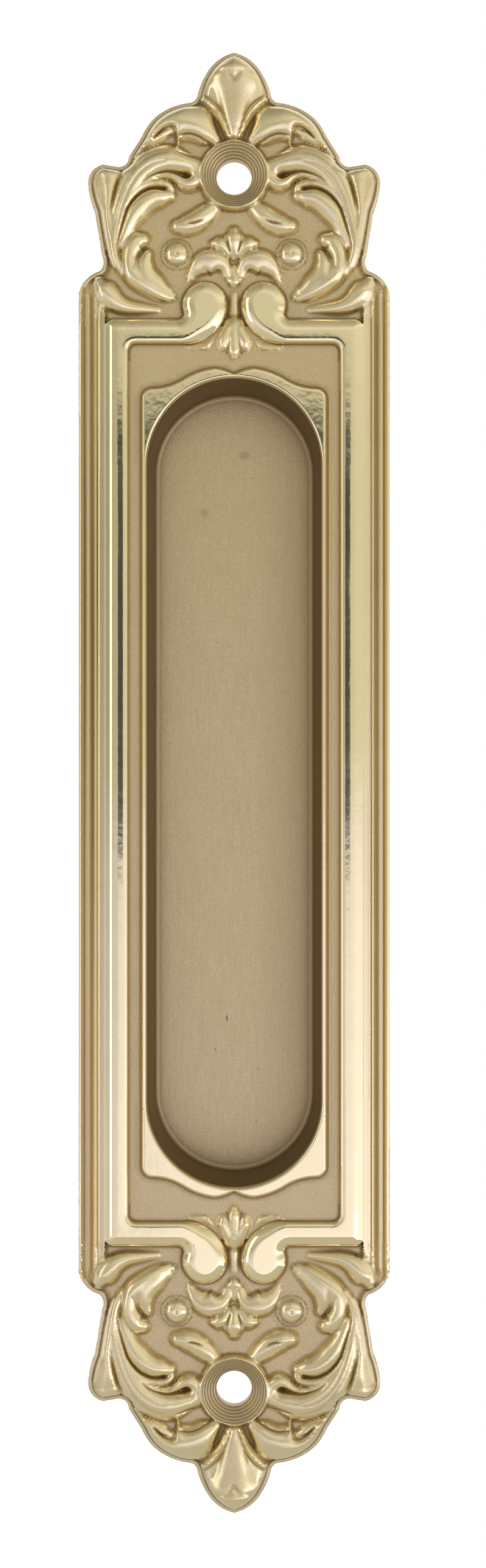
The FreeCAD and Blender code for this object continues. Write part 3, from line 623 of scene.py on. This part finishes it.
def cut_lines(px, pz, h, polish):
    """The chased lines, which are also dull; changes h and polish in place."""
    for curve in GROOVE_CURVES.values():
        near = boxed(px, pz, curve, 3.0)
        dist, along, _ = nearest(px[near], pz[near], curve[:, :2])
        width, depth = stations(curve, along, (2, 3))
        cut = np.exp(-(dist / width) ** 2)
        h[near] = h[near] - depth * cut
        polish[near] = polish[near] * (1 - 0.8 * cut * np.clip(depth / 0.4, 0, 1))


def add_screw_seat(px, pz, h, polish):
    """The flat seat round the countersink."""
    r = np.hypot(px, pz - HOLE_Z)
    seat = 1 - smooth_step((r - SINK_R - 0.15) / 0.55)
    h = h * (1 - seat) + BOSS_TOP * seat
    return h, np.maximum(polish, 0.7 * (r < SINK_R + 0.45))


def relief(px, pz):
    """Height of the front of the quarter plate at each point, and how far the point is polished."""
    d, _, _ = nearest(px, pz, OUTLINE + [(HALF_WIDTH, -5.0)])
    h, polish = ground_and_mouldings(px, pz, d)
    h = add_recess(px, pz, h)
    h, polish = add_frame(px, pz, h, polish)
    h, polish = add_surround(px, pz, h, polish)
    add_leaves(px, pz, d, h, polish)
    h, polish = add_bead(px, pz, h, polish)
    cut_lines(px, pz, h, polish)
    return add_screw_seat(px, pz, h, polish)


class Points:
    """Points inside a loop that keep apart from each other, with the first to come kept."""

    def __init__(self, loop):
        self.cell = {}
        self.rows = []
        self.loop = np.array(loop)
        for x, z in loop:
            self.add(x, z, 0.0)

    def add(self, x, z, gap):
        i, k = int(x // 0.5), int(z // 0.5)
        for a in (i - 1, i, i + 1):
            for b in (k - 1, k, k + 1):
                for qx, qz in self.cell.get((a, b), ()):
                    if (qx - x) ** 2 + (qz - z) ** 2 < gap * gap:
                        return
        self.cell.setdefault((i, k), []).append((x, z))
        self.rows.append((x, z))

    def offer(self, points, gap):
        """Add the points that lie inside the loop and clear of its edge."""
        x = np.array([p[0] for p in points])
        z = np.array([p[1] for p in points])
        keep = inside(x, z, self.loop)
        near_edge, _, _ = nearest(x, z, np.vstack([self.loop, self.loop[:1]]))
        keep &= near_edge > 0.05
        for a, b in zip(x[keep], z[keep]):
            self.add(a, b, gap)

    def offer_beside(self, path, offsets, gap):
        """Offer points at each offset from a path, where no other part of the path is nearer."""
        rows = offset_points(path, offsets, OUTLINE_STEP)
        d, _, _ = nearest(rows[:, 0], rows[:, 1], path)
        good = np.abs(d - np.abs(rows[:, 2])) < 0.01
        good &= rows[:, 1] > SPLIT_Z
        self.offer(rows[good][:, :2], gap)


def offset_points(path, offsets, step):
    """Points beside a path, at each offset to its right, spaced a step apart."""
    path = np.asarray(path, float)
    seg = np.diff(path, axis=0)
    length = np.hypot(seg[:, 0], seg[:, 1])
    start = np.concatenate([[0], np.cumsum(length)])
    out = []
    for s in np.arange(step / 2, start[-1], step):
        i = min(np.searchsorted(start, s, side="right") - 1, len(seg) - 1)
        t = seg[i] / length[i]
        p = path[i] + t * (s - start[i])
        for o in offsets:
            out.append((p[0] + t[1] * o, p[1] - t[0] * o, o))
    return np.array(out)


def grid(x0, x1, z0, z1, step):
    """Points of a triangle grid over a box."""
    out = []
    z, odd = z0, 0
    while z < z1:
        out += [(x, z) for x in np.arange(x0 + (step / 2 if odd else 0), x1, step)]
        z += step * math.sqrt(0.75)
        odd = 1 - odd
    return out


def triangles(points, edge_count):
    """Triangles between points, of which the first ones are the closed edge."""
    edges = [(i, (i + 1) % edge_count) for i in range(edge_count)]
    made, _, faces, _, _, _ = delaunay_2d_cdt([Vector(p) for p in points], edges, [], 1, 1e-5)
    return [tuple(v) for v in made], faces


def columns_across():
    """Places across the straight middle, from the edge of the plate to the cup."""
    columns = [HALF_WIDTH - u for u in (0, 0.05, 0.13, 0.24, 0.36, 0.45, 0.5)]
    columns += [HALF_WIDTH - u for u, _ in MOULDING[1:]]
    columns += [FRAME_OUTER - s for s in (-0.15, 0.0, 0.08, 0.2, 0.4, 0.65, 0.95, 1.3, 1.6)]
    columns += [FRAME_INNER + s for s in (1.5, 1.1, 0.85, 0.6, 0.42, 0.25, 0.12, 0.04)]
    columns += [FRAME_INNER + s for s in (0.0, -0.16, -0.34, -0.5)]
    columns += [15.6, 15.1, 14.9]
    columns += [SURROUND_HALF - s for s in (0.0, 0.2, 0.45, 0.5, 0.58, 0.68)] + [CUP_HALF + LIP]
    return sorted(set(round(c, 4) for c in columns), reverse=True)


def middle_strip(columns):
    """Corners and faces of the straight middle."""
    pts = [(x, z) for z in ROWS for x in columns]
    n = len(columns)
    faces = []
    for j in range(len(ROWS) - 1):
        for i in range(n - 1):
            faces.append((j * n + i, (j + 1) * n + i, (j + 1) * n + i + 1, j * n + i + 1))
    return pts, faces


def end_loop(columns):
    """Edge of the carved end, one closed loop."""
    hole = half_ring(SINK_R)
    ring = mouth(CUP_HALF + LIP)
    loop = list(OUTLINE)
    loop += line(OUTLINE[-1], (HALF_WIDTH, SPLIT_Z), SIDE_STEP)
    loop += [(x, SPLIT_Z) for x in columns[1:]]
    loop += ring[::-1][1:]
    loop += line(ring[0], hole[0], MIDDLE_STEP)
    loop += hole[1:]
    loop += line(hole[-1], OUTLINE[0], MIDDLE_STEP)[:-1]
    return loop


def carved_end(columns):
    """Corners and faces of the carved end."""
    loop = end_loop(columns)
    cloud = Points(loop)
    # along the outline, the scrolls, the surround and the side mouldings
    cloud.offer_beside(OUTLINE, (0.05, 0.13, 0.24, 0.36, 0.45, 0.65, 0.85, 1.0, 1.25), 0.045)
    flank = (0.8, 0.55, 0.34, 0.17, 0.0, -0.08, -0.2, -0.4, -0.65, -0.95, -1.3, -1.6, -1.8)
    cloud.offer_beside(SCROLL, flank, 0.05)
    cloud.offer_beside(BRACKET, (-0.1, 0.0, 0.2, 0.45, 0.5, 0.58, 0.7, 0.85, 0.97, 1.2), 0.05)
    for x in columns:
        if x > FRAME_OUTER + 0.1:
            cloud.offer([(x, z) for z in np.arange(SPLIT_Z + SIDE_STEP, SHOULDER, SIDE_STEP)], 0.05)
    # across the chased lines
    for curve in GROOVE_CURVES.values():
        width = min(curve[:, 2].mean(), 0.25)
        across = [share * width for share in (-1.7, -0.85, 0.0, 0.85, 1.7)]
        cloud.offer(offset_points(curve[:, :2], across, 0.2)[:, :2], 0.07)
    # round the mouth of the cup and the seat of the screw
    cloud.offer([p for o in (0.12, 0.4) for p in mouth(CUP_HALF + LIP + o)[1:-1]], 0.06)
    cloud.offer([p for o in (0.1, 0.25, 0.4, 0.6) for p in half_ring(SINK_R + o, 60)[1:-1]], 0.06)
    # over the carving, the flowers and the flats
    cloud.offer(grid(0.1, HALF_WIDTH, 72.4, 115.2, FINE), FINE * 0.62)
    cloud.offer(grid(0.1, 9.0, 65.5, 72.4, 0.27), 0.17)
    cloud.offer(grid(0.2, HALF_WIDTH, SPLIT_Z + 0.3, 72.4, 0.6), 0.36)
    return triangles(cloud.rows, len(loop))


def front_quarter():
    """Corners and faces of the front of the upper right quarter."""
    columns = columns_across()
    pts, faces = middle_strip(columns)
    end_pts, end_faces = carved_end(columns)
    faces += [tuple(len(pts) + i for i in f) for f in end_faces]
    return np.array(pts + end_pts), faces


def soften(values, faces):
    """Mix each value half and half with the mean of its neighbours."""
    pairs = np.array([(f[i], f[(i + 1) % len(f)]) for f in faces for i in range(len(f))])
    pairs = np.vstack([pairs, pairs[:, ::-1]])
    count = np.bincount(pairs[:, 0], minlength=len(values)).clip(1)
    total = np.bincount(pairs[:, 0], weights=values[pairs[:, 1]], minlength=len(values))
    return 0.5 * values + 0.5 * total / count


class Shell:
    """Corners and faces of the quarter plate; corners are x, z, height, polish, and patina with painted
    shade.
    """

    def __init__(self):
        self.corners = []
        self.faces = []

    def add(self, corners, faces):
        base = len(self.corners)
        self.corners += [tuple(c) for c in corners]
        self.faces += [tuple(base + i for i in f) for f in faces]

    def bands(self, levels):
        """Faces between rings of corners; each ring has the same number of corners."""
        n = len(levels[0])
        corners = [c for ring in levels for c in ring]
        faces = []
        for j in range(len(levels) - 1):
            for i in range(n - 1):
                faces.append((j * n + i, j * n + i + 1, (j + 1) * n + i + 1, (j + 1) * n + i))
        self.add(corners, faces)


def cup_levels():
    """Rings from the lip down the wall, round the floor's edge and over the floor."""
    edge = CUP_HALF + LIP
    depth = FACE - CUP_DEPTH
    out = []
    for a in np.radians([0, 15, 32, 50, 68, 86]):
        out.append((edge - LIP * math.sin(a), FACE - LIP * (1 - math.cos(a)), 1.0, 0.0))
    start = FACE - LIP
    foot = depth + CUP_FLOOR_ROUND * (1 - math.sin(math.radians(4)))
    # the wall and the round at its foot carry strong painted shade
    for t in np.linspace(0, 1, 12)[1:]:
        h = start + (foot - start) * t
        out.append((CUP_HALF - (start - h) * CUP_DRAFT, h, 0.3, 1.58 - 0.15 * t))
    wall = out[-1][0]
    for a in np.radians([14, 32, 50, 68, 86]):
        r = wall - CUP_FLOOR_ROUND * (1 - math.cos(a))
        h = foot - CUP_FLOOR_ROUND * math.sin(a) * 0.935
        out.append((r, h, 0.15, 1.25 - 0.6 * math.sin(a)))
    floor = out[-1][0] - 0.1
    # painted shade at the foot of the wall, fading over the floor
    for share, patina_and_painted_shade in ((1.0, 0.6), (0.975, 0.36), (0.94, 0.15)):
        out.append((floor * share, depth, 0.12, patina_and_painted_shade))
    for share in (0.86, 0.7, 0.5, 0.25, 0.0):
        out.append((floor * share, depth, 0.12, 0.0))
    return [level(stadium_ring(r), h, polish, patina_and_painted_shade) for r, h, polish, patina_and_painted_shade in out]


def sink_levels():
    """Half rings of the countersink with its turning marks, then the clear hole."""
    out = []
    for i, r in enumerate(np.linspace(SINK_R, HOLE_R, 34)):
        h = BOSS_TOP - (SINK_R - r)
        mark = 0.05 * math.sin(r * 2 * math.pi / 0.42) * min(1, (SINK_R - r) / 0.2)
        out.append((r, h + mark if i else BOSS_TOP, 0.34 + 1.5 * mark, 0.6 - 3.5 * mark))
    out.append((HOLE_R, BOSS_TOP - (SINK_R - HOLE_R) - 0.3, 0.2, 0.6))
    out.append((HOLE_R, 0.0, *BACK_LOOK))
    return [level(half_ring(r), h, polish, patina_and_painted_shade) for r, h, polish, patina_and_painted_shade in out]


def plate_rim():
    """Outline of the quarter plate, from the tip of the crest to z = 0."""
    side = line(OUTLINE[-1], (HALF_WIDTH, SPLIT_Z), SIDE_STEP)
    return OUTLINE + side + [(HALF_WIDTH, z) for z in ROWS[::-1][1:]]


def back_face(rim):
    """Corners and faces of the flat back round the cup."""
    ring = stadium_ring(BOSS_R)
    hole = half_ring(HOLE_R)
    loop = rim + line(rim[-1], ring[-1], BACK_STEP)[:-1] + ring[::-1]
    loop += line(ring[0], hole[0], BACK_STEP)[:-1] + hole
    loop += line(hole[-1], rim[0], BACK_STEP)[:-1]
    return triangles(loop, len(loop))


def cup_outside():
    """Rings over the outside of the cup, from the back face to the middle of its bottom."""
    tall = CUP_BACK - BACK_ROUND
    end = BOSS_R - tall * CUP_DRAFT
    out = [(BOSS_R, 0.0)]
    out += [(BOSS_R - t * CUP_DRAFT, -t) for t in np.linspace(0, tall, 5)[1:]]
    for a in np.radians([30, 60, 90]):
        out.append((end - BACK_ROUND * (1 - math.cos(a)), -CUP_BACK + BACK_ROUND * (1 - math.sin(a))))
    out += [(end * share, -CUP_BACK) for share in (0.9, 0.7, 0.4, 0.0)]
    return [level(stadium_ring(r), h, *BACK_LOOK) for r, h in out]


def front_heights(x, z, faces):
    """Heights and polish of the front, with the carving softened."""
    h, polish = relief(x, z)
    to_outline, _, _ = nearest(x, z, OUTLINE)
    to_scroll, _, _ = nearest(x, z, SCROLL)
    to_hole = np.hypot(x, z - HOLE_Z)
    carved = (z > 73.0) & (to_outline > 1.0) & (to_scroll > 0.5) & (to_hole > SINK_R + 0.4)
    carved &= ~inside(x, z, SCROLL) & (x > 0.05)
    h = np.where(carved, soften(h, faces), h)
    # the rims of the cup, the countersink and the plate meet the walls that follow
    to_mouth = np.hypot(x, np.maximum(z - CUP_STRAIGHT, 0))
    h = np.where(np.abs(to_mouth - CUP_HALF - LIP) < SEAM, FACE, h)
    h = np.where(np.abs(to_hole - SINK_R) < SEAM, BOSS_TOP, h)
    to_edge, _, _ = nearest(x, z, OUTLINE + [(HALF_WIDTH, 0.0)])
    return np.where(to_edge < SEAM, RIM_FOOT, h), polish


def crevice(px, pz):
    """How far each point lies below the surface round it, from 0 to 1."""
    here, _ = relief(px, pz)
    deep = np.zeros(px.shape)
    for reach, share in ((0.22, 0.18), (0.5, 0.5)):
        round_it = np.zeros(px.shape)
        for a in np.arange(6) * math.pi / 3 + reach:
            near, _ = relief(np.abs(px + reach * math.cos(a)), np.abs(pz + reach * math.sin(a)))
            round_it += near / 6
        deep = np.maximum(deep, np.clip((round_it - here) / share, 0, 1))
    return deep


def front_patina_and_painted_shade(x, z):
    """Patina and painted shade in the crevices and the hollow moulding, and less of it on the frame and
    beside it.
    """
    patina_and_painted_shade = crevice(x, z)
    u = HALF_WIDTH - x
    # painted shade with patina in the hollow of the side moulding
    patina_and_painted_shade = np.where((u > 0.8) & (u < 2.5) & (z < 76.0), np.maximum(patina_and_painted_shade, 0.3), patina_and_painted_shade)
    patina_and_painted_shade = np.where((u > 7.9) & (u < 9.8) & (z < 66.0), 0.5 * patina_and_painted_shade, patina_and_painted_shade)
    return np.where((u > 3.15) & (u < 4.6) & (z < 72.0), 0.4 * patina_and_painted_shade, patina_and_painted_shade)


def door_pull_mesh():
    """The upper right quarter of the door pull."""
    shell = Shell()
    pts, faces = front_quarter()
    x, z = pts[:, 0].copy(), pts[:, 1].copy()
    h, polish = front_heights(x, z, faces)
    shell.add(np.column_stack([x, z, h, polish, front_patina_and_painted_shade(x, z)]), faces)
    shell.bands(cup_levels())
    shell.bands(sink_levels())
    rim = plate_rim()
    shell.bands([level(rim, RIM_FOOT, 0.6, 0.0), level(rim, 0.6, 0.4, 0.1), level(rim, 0.0, *BACK_LOOK)])
    back, back_faces = back_face(rim)
    shell.add(level(back, 0.0, *BACK_LOOK), back_faces)
    shell.bands(cup_outside())
    return shell


def mirror_quarter(piece):
    """Mirror the quarter left to right and top to bottom, and join the seams."""
    bpy.ops.object.select_all(action="DESELECT")
    bpy.context.view_layer.objects.active = piece
    piece.select_set(True)
    mirror = piece.modifiers.new("mirror", "MIRROR")
    mirror.use_axis = (True, False, True)
    mirror.merge_threshold = WELD
    bpy.ops.object.modifier_apply(modifier=mirror.name)
    bpy.ops.object.mode_set(mode="EDIT")
    bpy.ops.mesh.select_all(action="SELECT")
    bpy.ops.mesh.remove_doubles(threshold=WELD)
    bpy.ops.mesh.dissolve_degenerate(threshold=1e-6)
    bpy.ops.mesh.normals_make_consistent(inside=False)
    bpy.ops.object.mode_set(mode="OBJECT")
    bpy.ops.object.shade_smooth_by_angle(angle=math.radians(38))


def make_door_pull():
    shell = door_pull_mesh()
    c = np.array(shell.corners)
    mesh = bpy.data.meshes.new("carved_pull")
    mesh.from_pydata(np.column_stack([c[:, 0], -c[:, 2], c[:, 1]]) * MM, [], shell.faces)
    for i, name in ((3, "polish"), (4, "patina_and_painted_shade")):
        mesh.attributes.new(name, "FLOAT", "POINT").data.foreach_set("value", c[:, i].astype(np.float32))
    piece = bpy.data.objects.new("carved_pull", mesh)
    bpy.context.scene.collection.objects.link(piece)
    mirror_quarter(piece)
    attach(piece, "root")
    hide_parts("door_pull")
    return piece


class Nodes:
    """Adds shader nodes to a tree and joins them."""

    def __init__(self, tree):
        self.nodes = tree.nodes
        self.links = tree.links

    def new(self, kind, **values):
        n = self.nodes.new(kind)
        for key, value in values.items():
            setattr(n, key, value)
        return n

    def feed(self, socket, value):
        """Join an input to another node's output, or set its value."""
        if isinstance(value, bpy.types.NodeSocket):
            self.links.new(value, socket)
        else:
            socket.default_value = value

    def calc(self, kind, a, b):
        n = self.new("ShaderNodeMath", operation=kind)
        self.feed(n.inputs[0], a)
        self.feed(n.inputs[1], b)
        return n.outputs[0]

    def vector(self, kind, a, b):
        n = self.new("ShaderNodeVectorMath", operation=kind)
        self.feed(n.inputs[0], a)
        self.feed(n.inputs[1], b)
        return n.outputs[0]

    def length(self, a):
        n = self.new("ShaderNodeVectorMath", operation="LENGTH")
        self.feed(n.inputs[0], a)
        return n.outputs["Value"]

    def axes(self, a):
        n = self.new("ShaderNodeSeparateXYZ")
        self.feed(n.inputs[0], a)
        return n.outputs

    def mix(self, share, a, b):
        """Mix two numbers."""
        n = self.new("ShaderNodeMix", data_type="FLOAT")
        for i, value in ((0, share), (2, a), (3, b)):
            self.feed(n.inputs[i], value)
        return n.outputs[0]

    def blend(self, share, a, b, kind="MIX"):
        """Blend two colours."""
        n = self.new("ShaderNodeMix", data_type="RGBA", blend_type=kind)
        for i, value in ((0, share), (6, a), (7, b)):
            self.feed(n.inputs[i], value)
        return n.outputs[2]

    def rise(self, value, low, high, top=1.0):
        """0 at low, rising to the top at high."""
        n = self.new("ShaderNodeMapRange")
        for name, given in (("Value", value), ("From Min", low), ("From Max", high), ("To Max", top)):
            self.feed(n.inputs[name], given)
        return n.outputs[0]

    def span(self, value, low, high, soft):
        """1 between low and high, 0 outside, with soft ends."""
        start = self.rise(value, low - soft, low + soft)
        return self.calc("MULTIPLY", start, self.rise(value, high + soft, high - soft))

    def noise(self, place, scale, detail, rough=0.55):
        n = self.new("ShaderNodeTexNoise")
        for name, given in (("Vector", place), ("Scale", scale), ("Detail", detail), ("Roughness", rough)):
            self.feed(n.inputs[name], given)
        return n.outputs["Fac"]

    def ramp(self, value, stops):
        """Colours at places from 0 to 1."""
        n = self.new("ShaderNodeValToRGB")
        self.feed(n.inputs[0], value)
        elements = n.color_ramp.elements
        while len(elements) < len(stops):
            elements.new(0.5)
        for element, (at, color) in zip(elements, stops):
            element.position = at
            element.color = color
        return n.outputs[0]


def metal_color(tree, axes, grain, cloud, polish, patina_and_painted_shade):
    """Satin brass with dark specks, paler toward the low end, polished on the high points, browned by
    patina and painted shade.
    """
    upper = tree.blend(cloud, (0.63, 0.495, 0.257, 1), (0.73, 0.59, 0.322, 1))
    lower = tree.blend(cloud, (0.69, 0.545, 0.332, 1), (0.79, 0.64, 0.412, 1))
    satin = tree.blend(tree.rise(axes["Z"], 0.06, -0.07), upper, lower)
    speck = tree.calc("MULTIPLY", tree.rise(grain, 0.38, 0.64), 0.42)
    satin = tree.blend(speck, satin, (0.38, 0.285, 0.16, 1))
    bright = tree.blend(cloud, (0.85, 0.72, 0.43, 1), (0.91, 0.79, 0.497, 1))
    metal = tree.blend(polish, satin, bright)
    # dark brown of patina in the hollows together with painted shade in the crevices and the cup
    return tree.blend(tree.calc("MULTIPLY", patina_and_painted_shade, 0.62), metal, (0.22, 0.145, 0.065, 1))


def stain_mask(tree, place, grain):
    """Where the stains lie, with ragged edges."""
    ragged = tree.calc("MULTIPLY", tree.calc("SUBTRACT", grain, 0.5), 0.8)
    spots = None
    for x, z, wide, tall, strength in STAINS:
        gap = tree.vector("SUBTRACT", place, (x * MM, 0.0, z * MM))
        size = tree.vector("MULTIPLY", gap, (1 / (wide * MM), 0.0, 1 / (tall * MM)))
        spot = tree.rise(tree.calc("ADD", tree.length(size), ragged), 1.0, 0.3, strength)
        spots = spot if spots is None else tree.calc("MAXIMUM", spots, spot)
    return spots


def wear_and_painted_shade(tree, color, place, axes, grain, on_floor):
    """Stains on the front and the floor of the cup, then streaks, and painted shade that makes the right
    side of the floor browner.
    """
    in_front = tree.calc("MAXIMUM", on_floor, tree.calc("LESS_THAN", axes["Y"], -0.0008))
    stained = tree.calc("MULTIPLY", stain_mask(tree, place, grain), in_front)
    color = tree.blend(stained, color, (0.16, 0.1, 0.045, 1))
    upright = tree.vector("MULTIPLY", place, (1.0, 1.0, 0.06))
    streak = tree.calc("MULTIPLY", tree.noise(upright, 2600.0, 3.0, 0.5), 0.4)
    color = tree.blend(tree.calc("MULTIPLY", streak, on_floor), color, (0.4, 0.29, 0.16, 1))
    # painted shade: the floor darker and browner toward the right wall
    right = tree.calc("MULTIPLY", tree.rise(axes["X"], 0.003, 0.012), on_floor)
    return tree.blend(tree.calc("MULTIPLY", right, 0.3), color, (0.36, 0.245, 0.11, 1))


def skin(tree, place, grain, cloud, polish, on_floor):
    """Fine grain of the casting, nearly gone where the metal is polished, over a slow waviness."""
    bump = tree.new("ShaderNodeBump")
    bump.inputs["Distance"].default_value = 0.00012
    bump.inputs["Strength"].default_value = 0.6
    peel = tree.calc("MULTIPLY", tree.noise(place, 1700.0, 2.0), 0.12)
    height = tree.calc("SUBTRACT", tree.calc("ADD", grain, peel), 0.56)
    height = tree.calc("MULTIPLY", height, tree.mix(on_floor, 1.0, 0.45))
    height = tree.calc("MULTIPLY", height, tree.mix(polish, 1.0, 0.004))
    tree.feed(bump.inputs["Height"], tree.calc("ADD", height, tree.calc("MULTIPLY", cloud, 0.5)))
    return bump.outputs["Normal"]


def brass():
    mat = bpy.data.materials.new("brass")
    mat.use_nodes = True
    tree = Nodes(mat.node_tree)
    place = tree.new("ShaderNodeTexCoord").outputs["Object"]
    axes = tree.axes(place)
    polish = tree.new("ShaderNodeAttribute", attribute_name="polish").outputs["Fac"]
    patina_and_painted_shade = tree.new("ShaderNodeAttribute", attribute_name="patina_and_painted_shade").outputs["Fac"]
    grain = tree.noise(place, 6400.0, 2.0)
    cloud = tree.noise(place, 140.0, 4.0)
    deep = tree.calc("GREATER_THAN", axes["Y"], CUP_FLOOR_SPAN[0])
    on_floor = tree.calc("MULTIPLY", deep, tree.calc("LESS_THAN", axes["Y"], CUP_FLOOR_SPAN[1]))
    color = metal_color(tree, axes, grain, cloud, polish, patina_and_painted_shade)
    rough = tree.calc("ADD", tree.mix(polish, 0.46, 0.07), tree.calc("MULTIPLY", patina_and_painted_shade, 0.2))
    uneven = tree.calc("MULTIPLY", tree.calc("SUBTRACT", cloud, 0.5), 0.08)
    bsdf = mat.node_tree.nodes["Principled BSDF"]
    bsdf.inputs["Metallic"].default_value = 1.0
    tree.feed(bsdf.inputs["Base Color"], wear_and_painted_shade(tree, color, place, axes, grain, on_floor))
    tree.feed(bsdf.inputs["Roughness"], tree.calc("ADD", rough, uneven))
    tree.feed(bsdf.inputs["Normal"], skin(tree, place, grain, cloud, polish, on_floor))
    return mat


def room_color(at, light):
    """Colour of the room at a height: the low panel is bluish, the rest is warm."""
    return (light, light * 0.99, light * (1.16 if 0.2 < at < 0.49 else 0.9), 1)


def add_room():
    """What stands round the plate and is mirrored in it, by the direction of view."""
    world = bpy.data.worlds.new("studio")
    world.use_nodes = True
    tree = Nodes(world.node_tree)
    axes = tree.axes(tree.new("ShaderNodeTexCoord").outputs["Generated"])
    stops = [(at, room_color(at, light)) for at, light in ROOM_LIGHT]
    color = tree.ramp(tree.rise(axes["Z"], -1.0, 1.0), stops)
    # the dark camera, small and sharp
    spot_wide = tree.span(axes["X"], -0.056, 0.042, 0.004)
    spot_tall = tree.span(axes["Z"], -0.025, 0.134, 0.005)
    color = tree.blend(tree.calc("MULTIPLY", spot_wide, spot_tall), color, (0.075, 0.085, 0.085, 1))
    # darker to the left
    stops = [(at, (light, light, light, 1)) for at, light in SIDE_LIGHT]
    color = tree.blend(1.0, color, tree.ramp(tree.rise(axes["X"], -1.0, 1.0), stops), "MULTIPLY")
    # a white sweep behind the plate, and plain white where the camera looks past it
    color = tree.blend(tree.rise(axes["Y"], 0.2, 0.7), color, WHITE)
    color = tree.blend(tree.new("ShaderNodeLightPath").outputs["Is Camera Ray"], color, WHITE)
    back = world.node_tree.nodes["Background"]
    back.inputs["Strength"].default_value = 1.0
    tree.feed(back.inputs["Color"], color)
    bpy.context.scene.world = world


def add_lamp(name, place, size, power):
    """A panel lamp that faces the middle of the plate."""
    data = bpy.data.lights.new(name, "AREA")
    data.shape = "RECTANGLE"
    data.size, data.size_y = size
    data.energy = power
    obj = bpy.data.objects.new(name, data)
    obj.location = place
    obj.rotation_euler = (-Vector(place)).to_track_quat("-Z", "Y").to_euler()
    bpy.context.scene.collection.objects.link(obj)


def add_floor():
    bpy.ops.mesh.primitive_plane_add(size=1.2, location=(0, 0, -0.3))
    floor = bpy.context.object
    floor.name = "floor"
    mat = bpy.data.materials.new("pale_floor")
    mat.use_nodes = True
    bsdf = mat.node_tree.nodes["Principled BSDF"]
    bsdf.inputs["Base Color"].default_value = (0.85, 0.85, 0.84, 1)
    bsdf.inputs["Roughness"].default_value = 0.8
    floor.data.materials.append(mat)


def add_camera():
    data = bpy.data.cameras.new("camera")
    data.sensor_fit = "VERTICAL"
    data.sensor_height = SENSOR
    data.lens = SENSOR * CAMERA_AWAY / VIEW_TALL
    data.clip_start = 0.01
    cam = bpy.data.objects.new("camera", data)
    cam.location = (1.39 * MM, -(CAMERA_AWAY + 5.0) * MM, -0.19 * MM)
    cam.rotation_euler = (math.pi / 2, 0, 0)
    bpy.context.scene.collection.objects.link(cam)
    bpy.context.scene.camera = cam


def studio():
    bpy.context.scene.view_settings.view_transform = "Standard"
    add_room()
    add_lamp("low_right_panel", (0.55, -0.5, -0.4), (0.45, 0.45), 1.4)
    add_lamp("left_panel", (-0.6, -0.35, 0.1), (0.25, 0.6), 0.5)
    add_floor()
    add_camera()


piece = make_door_pull()
piece.data.materials.append(brass())
studio()
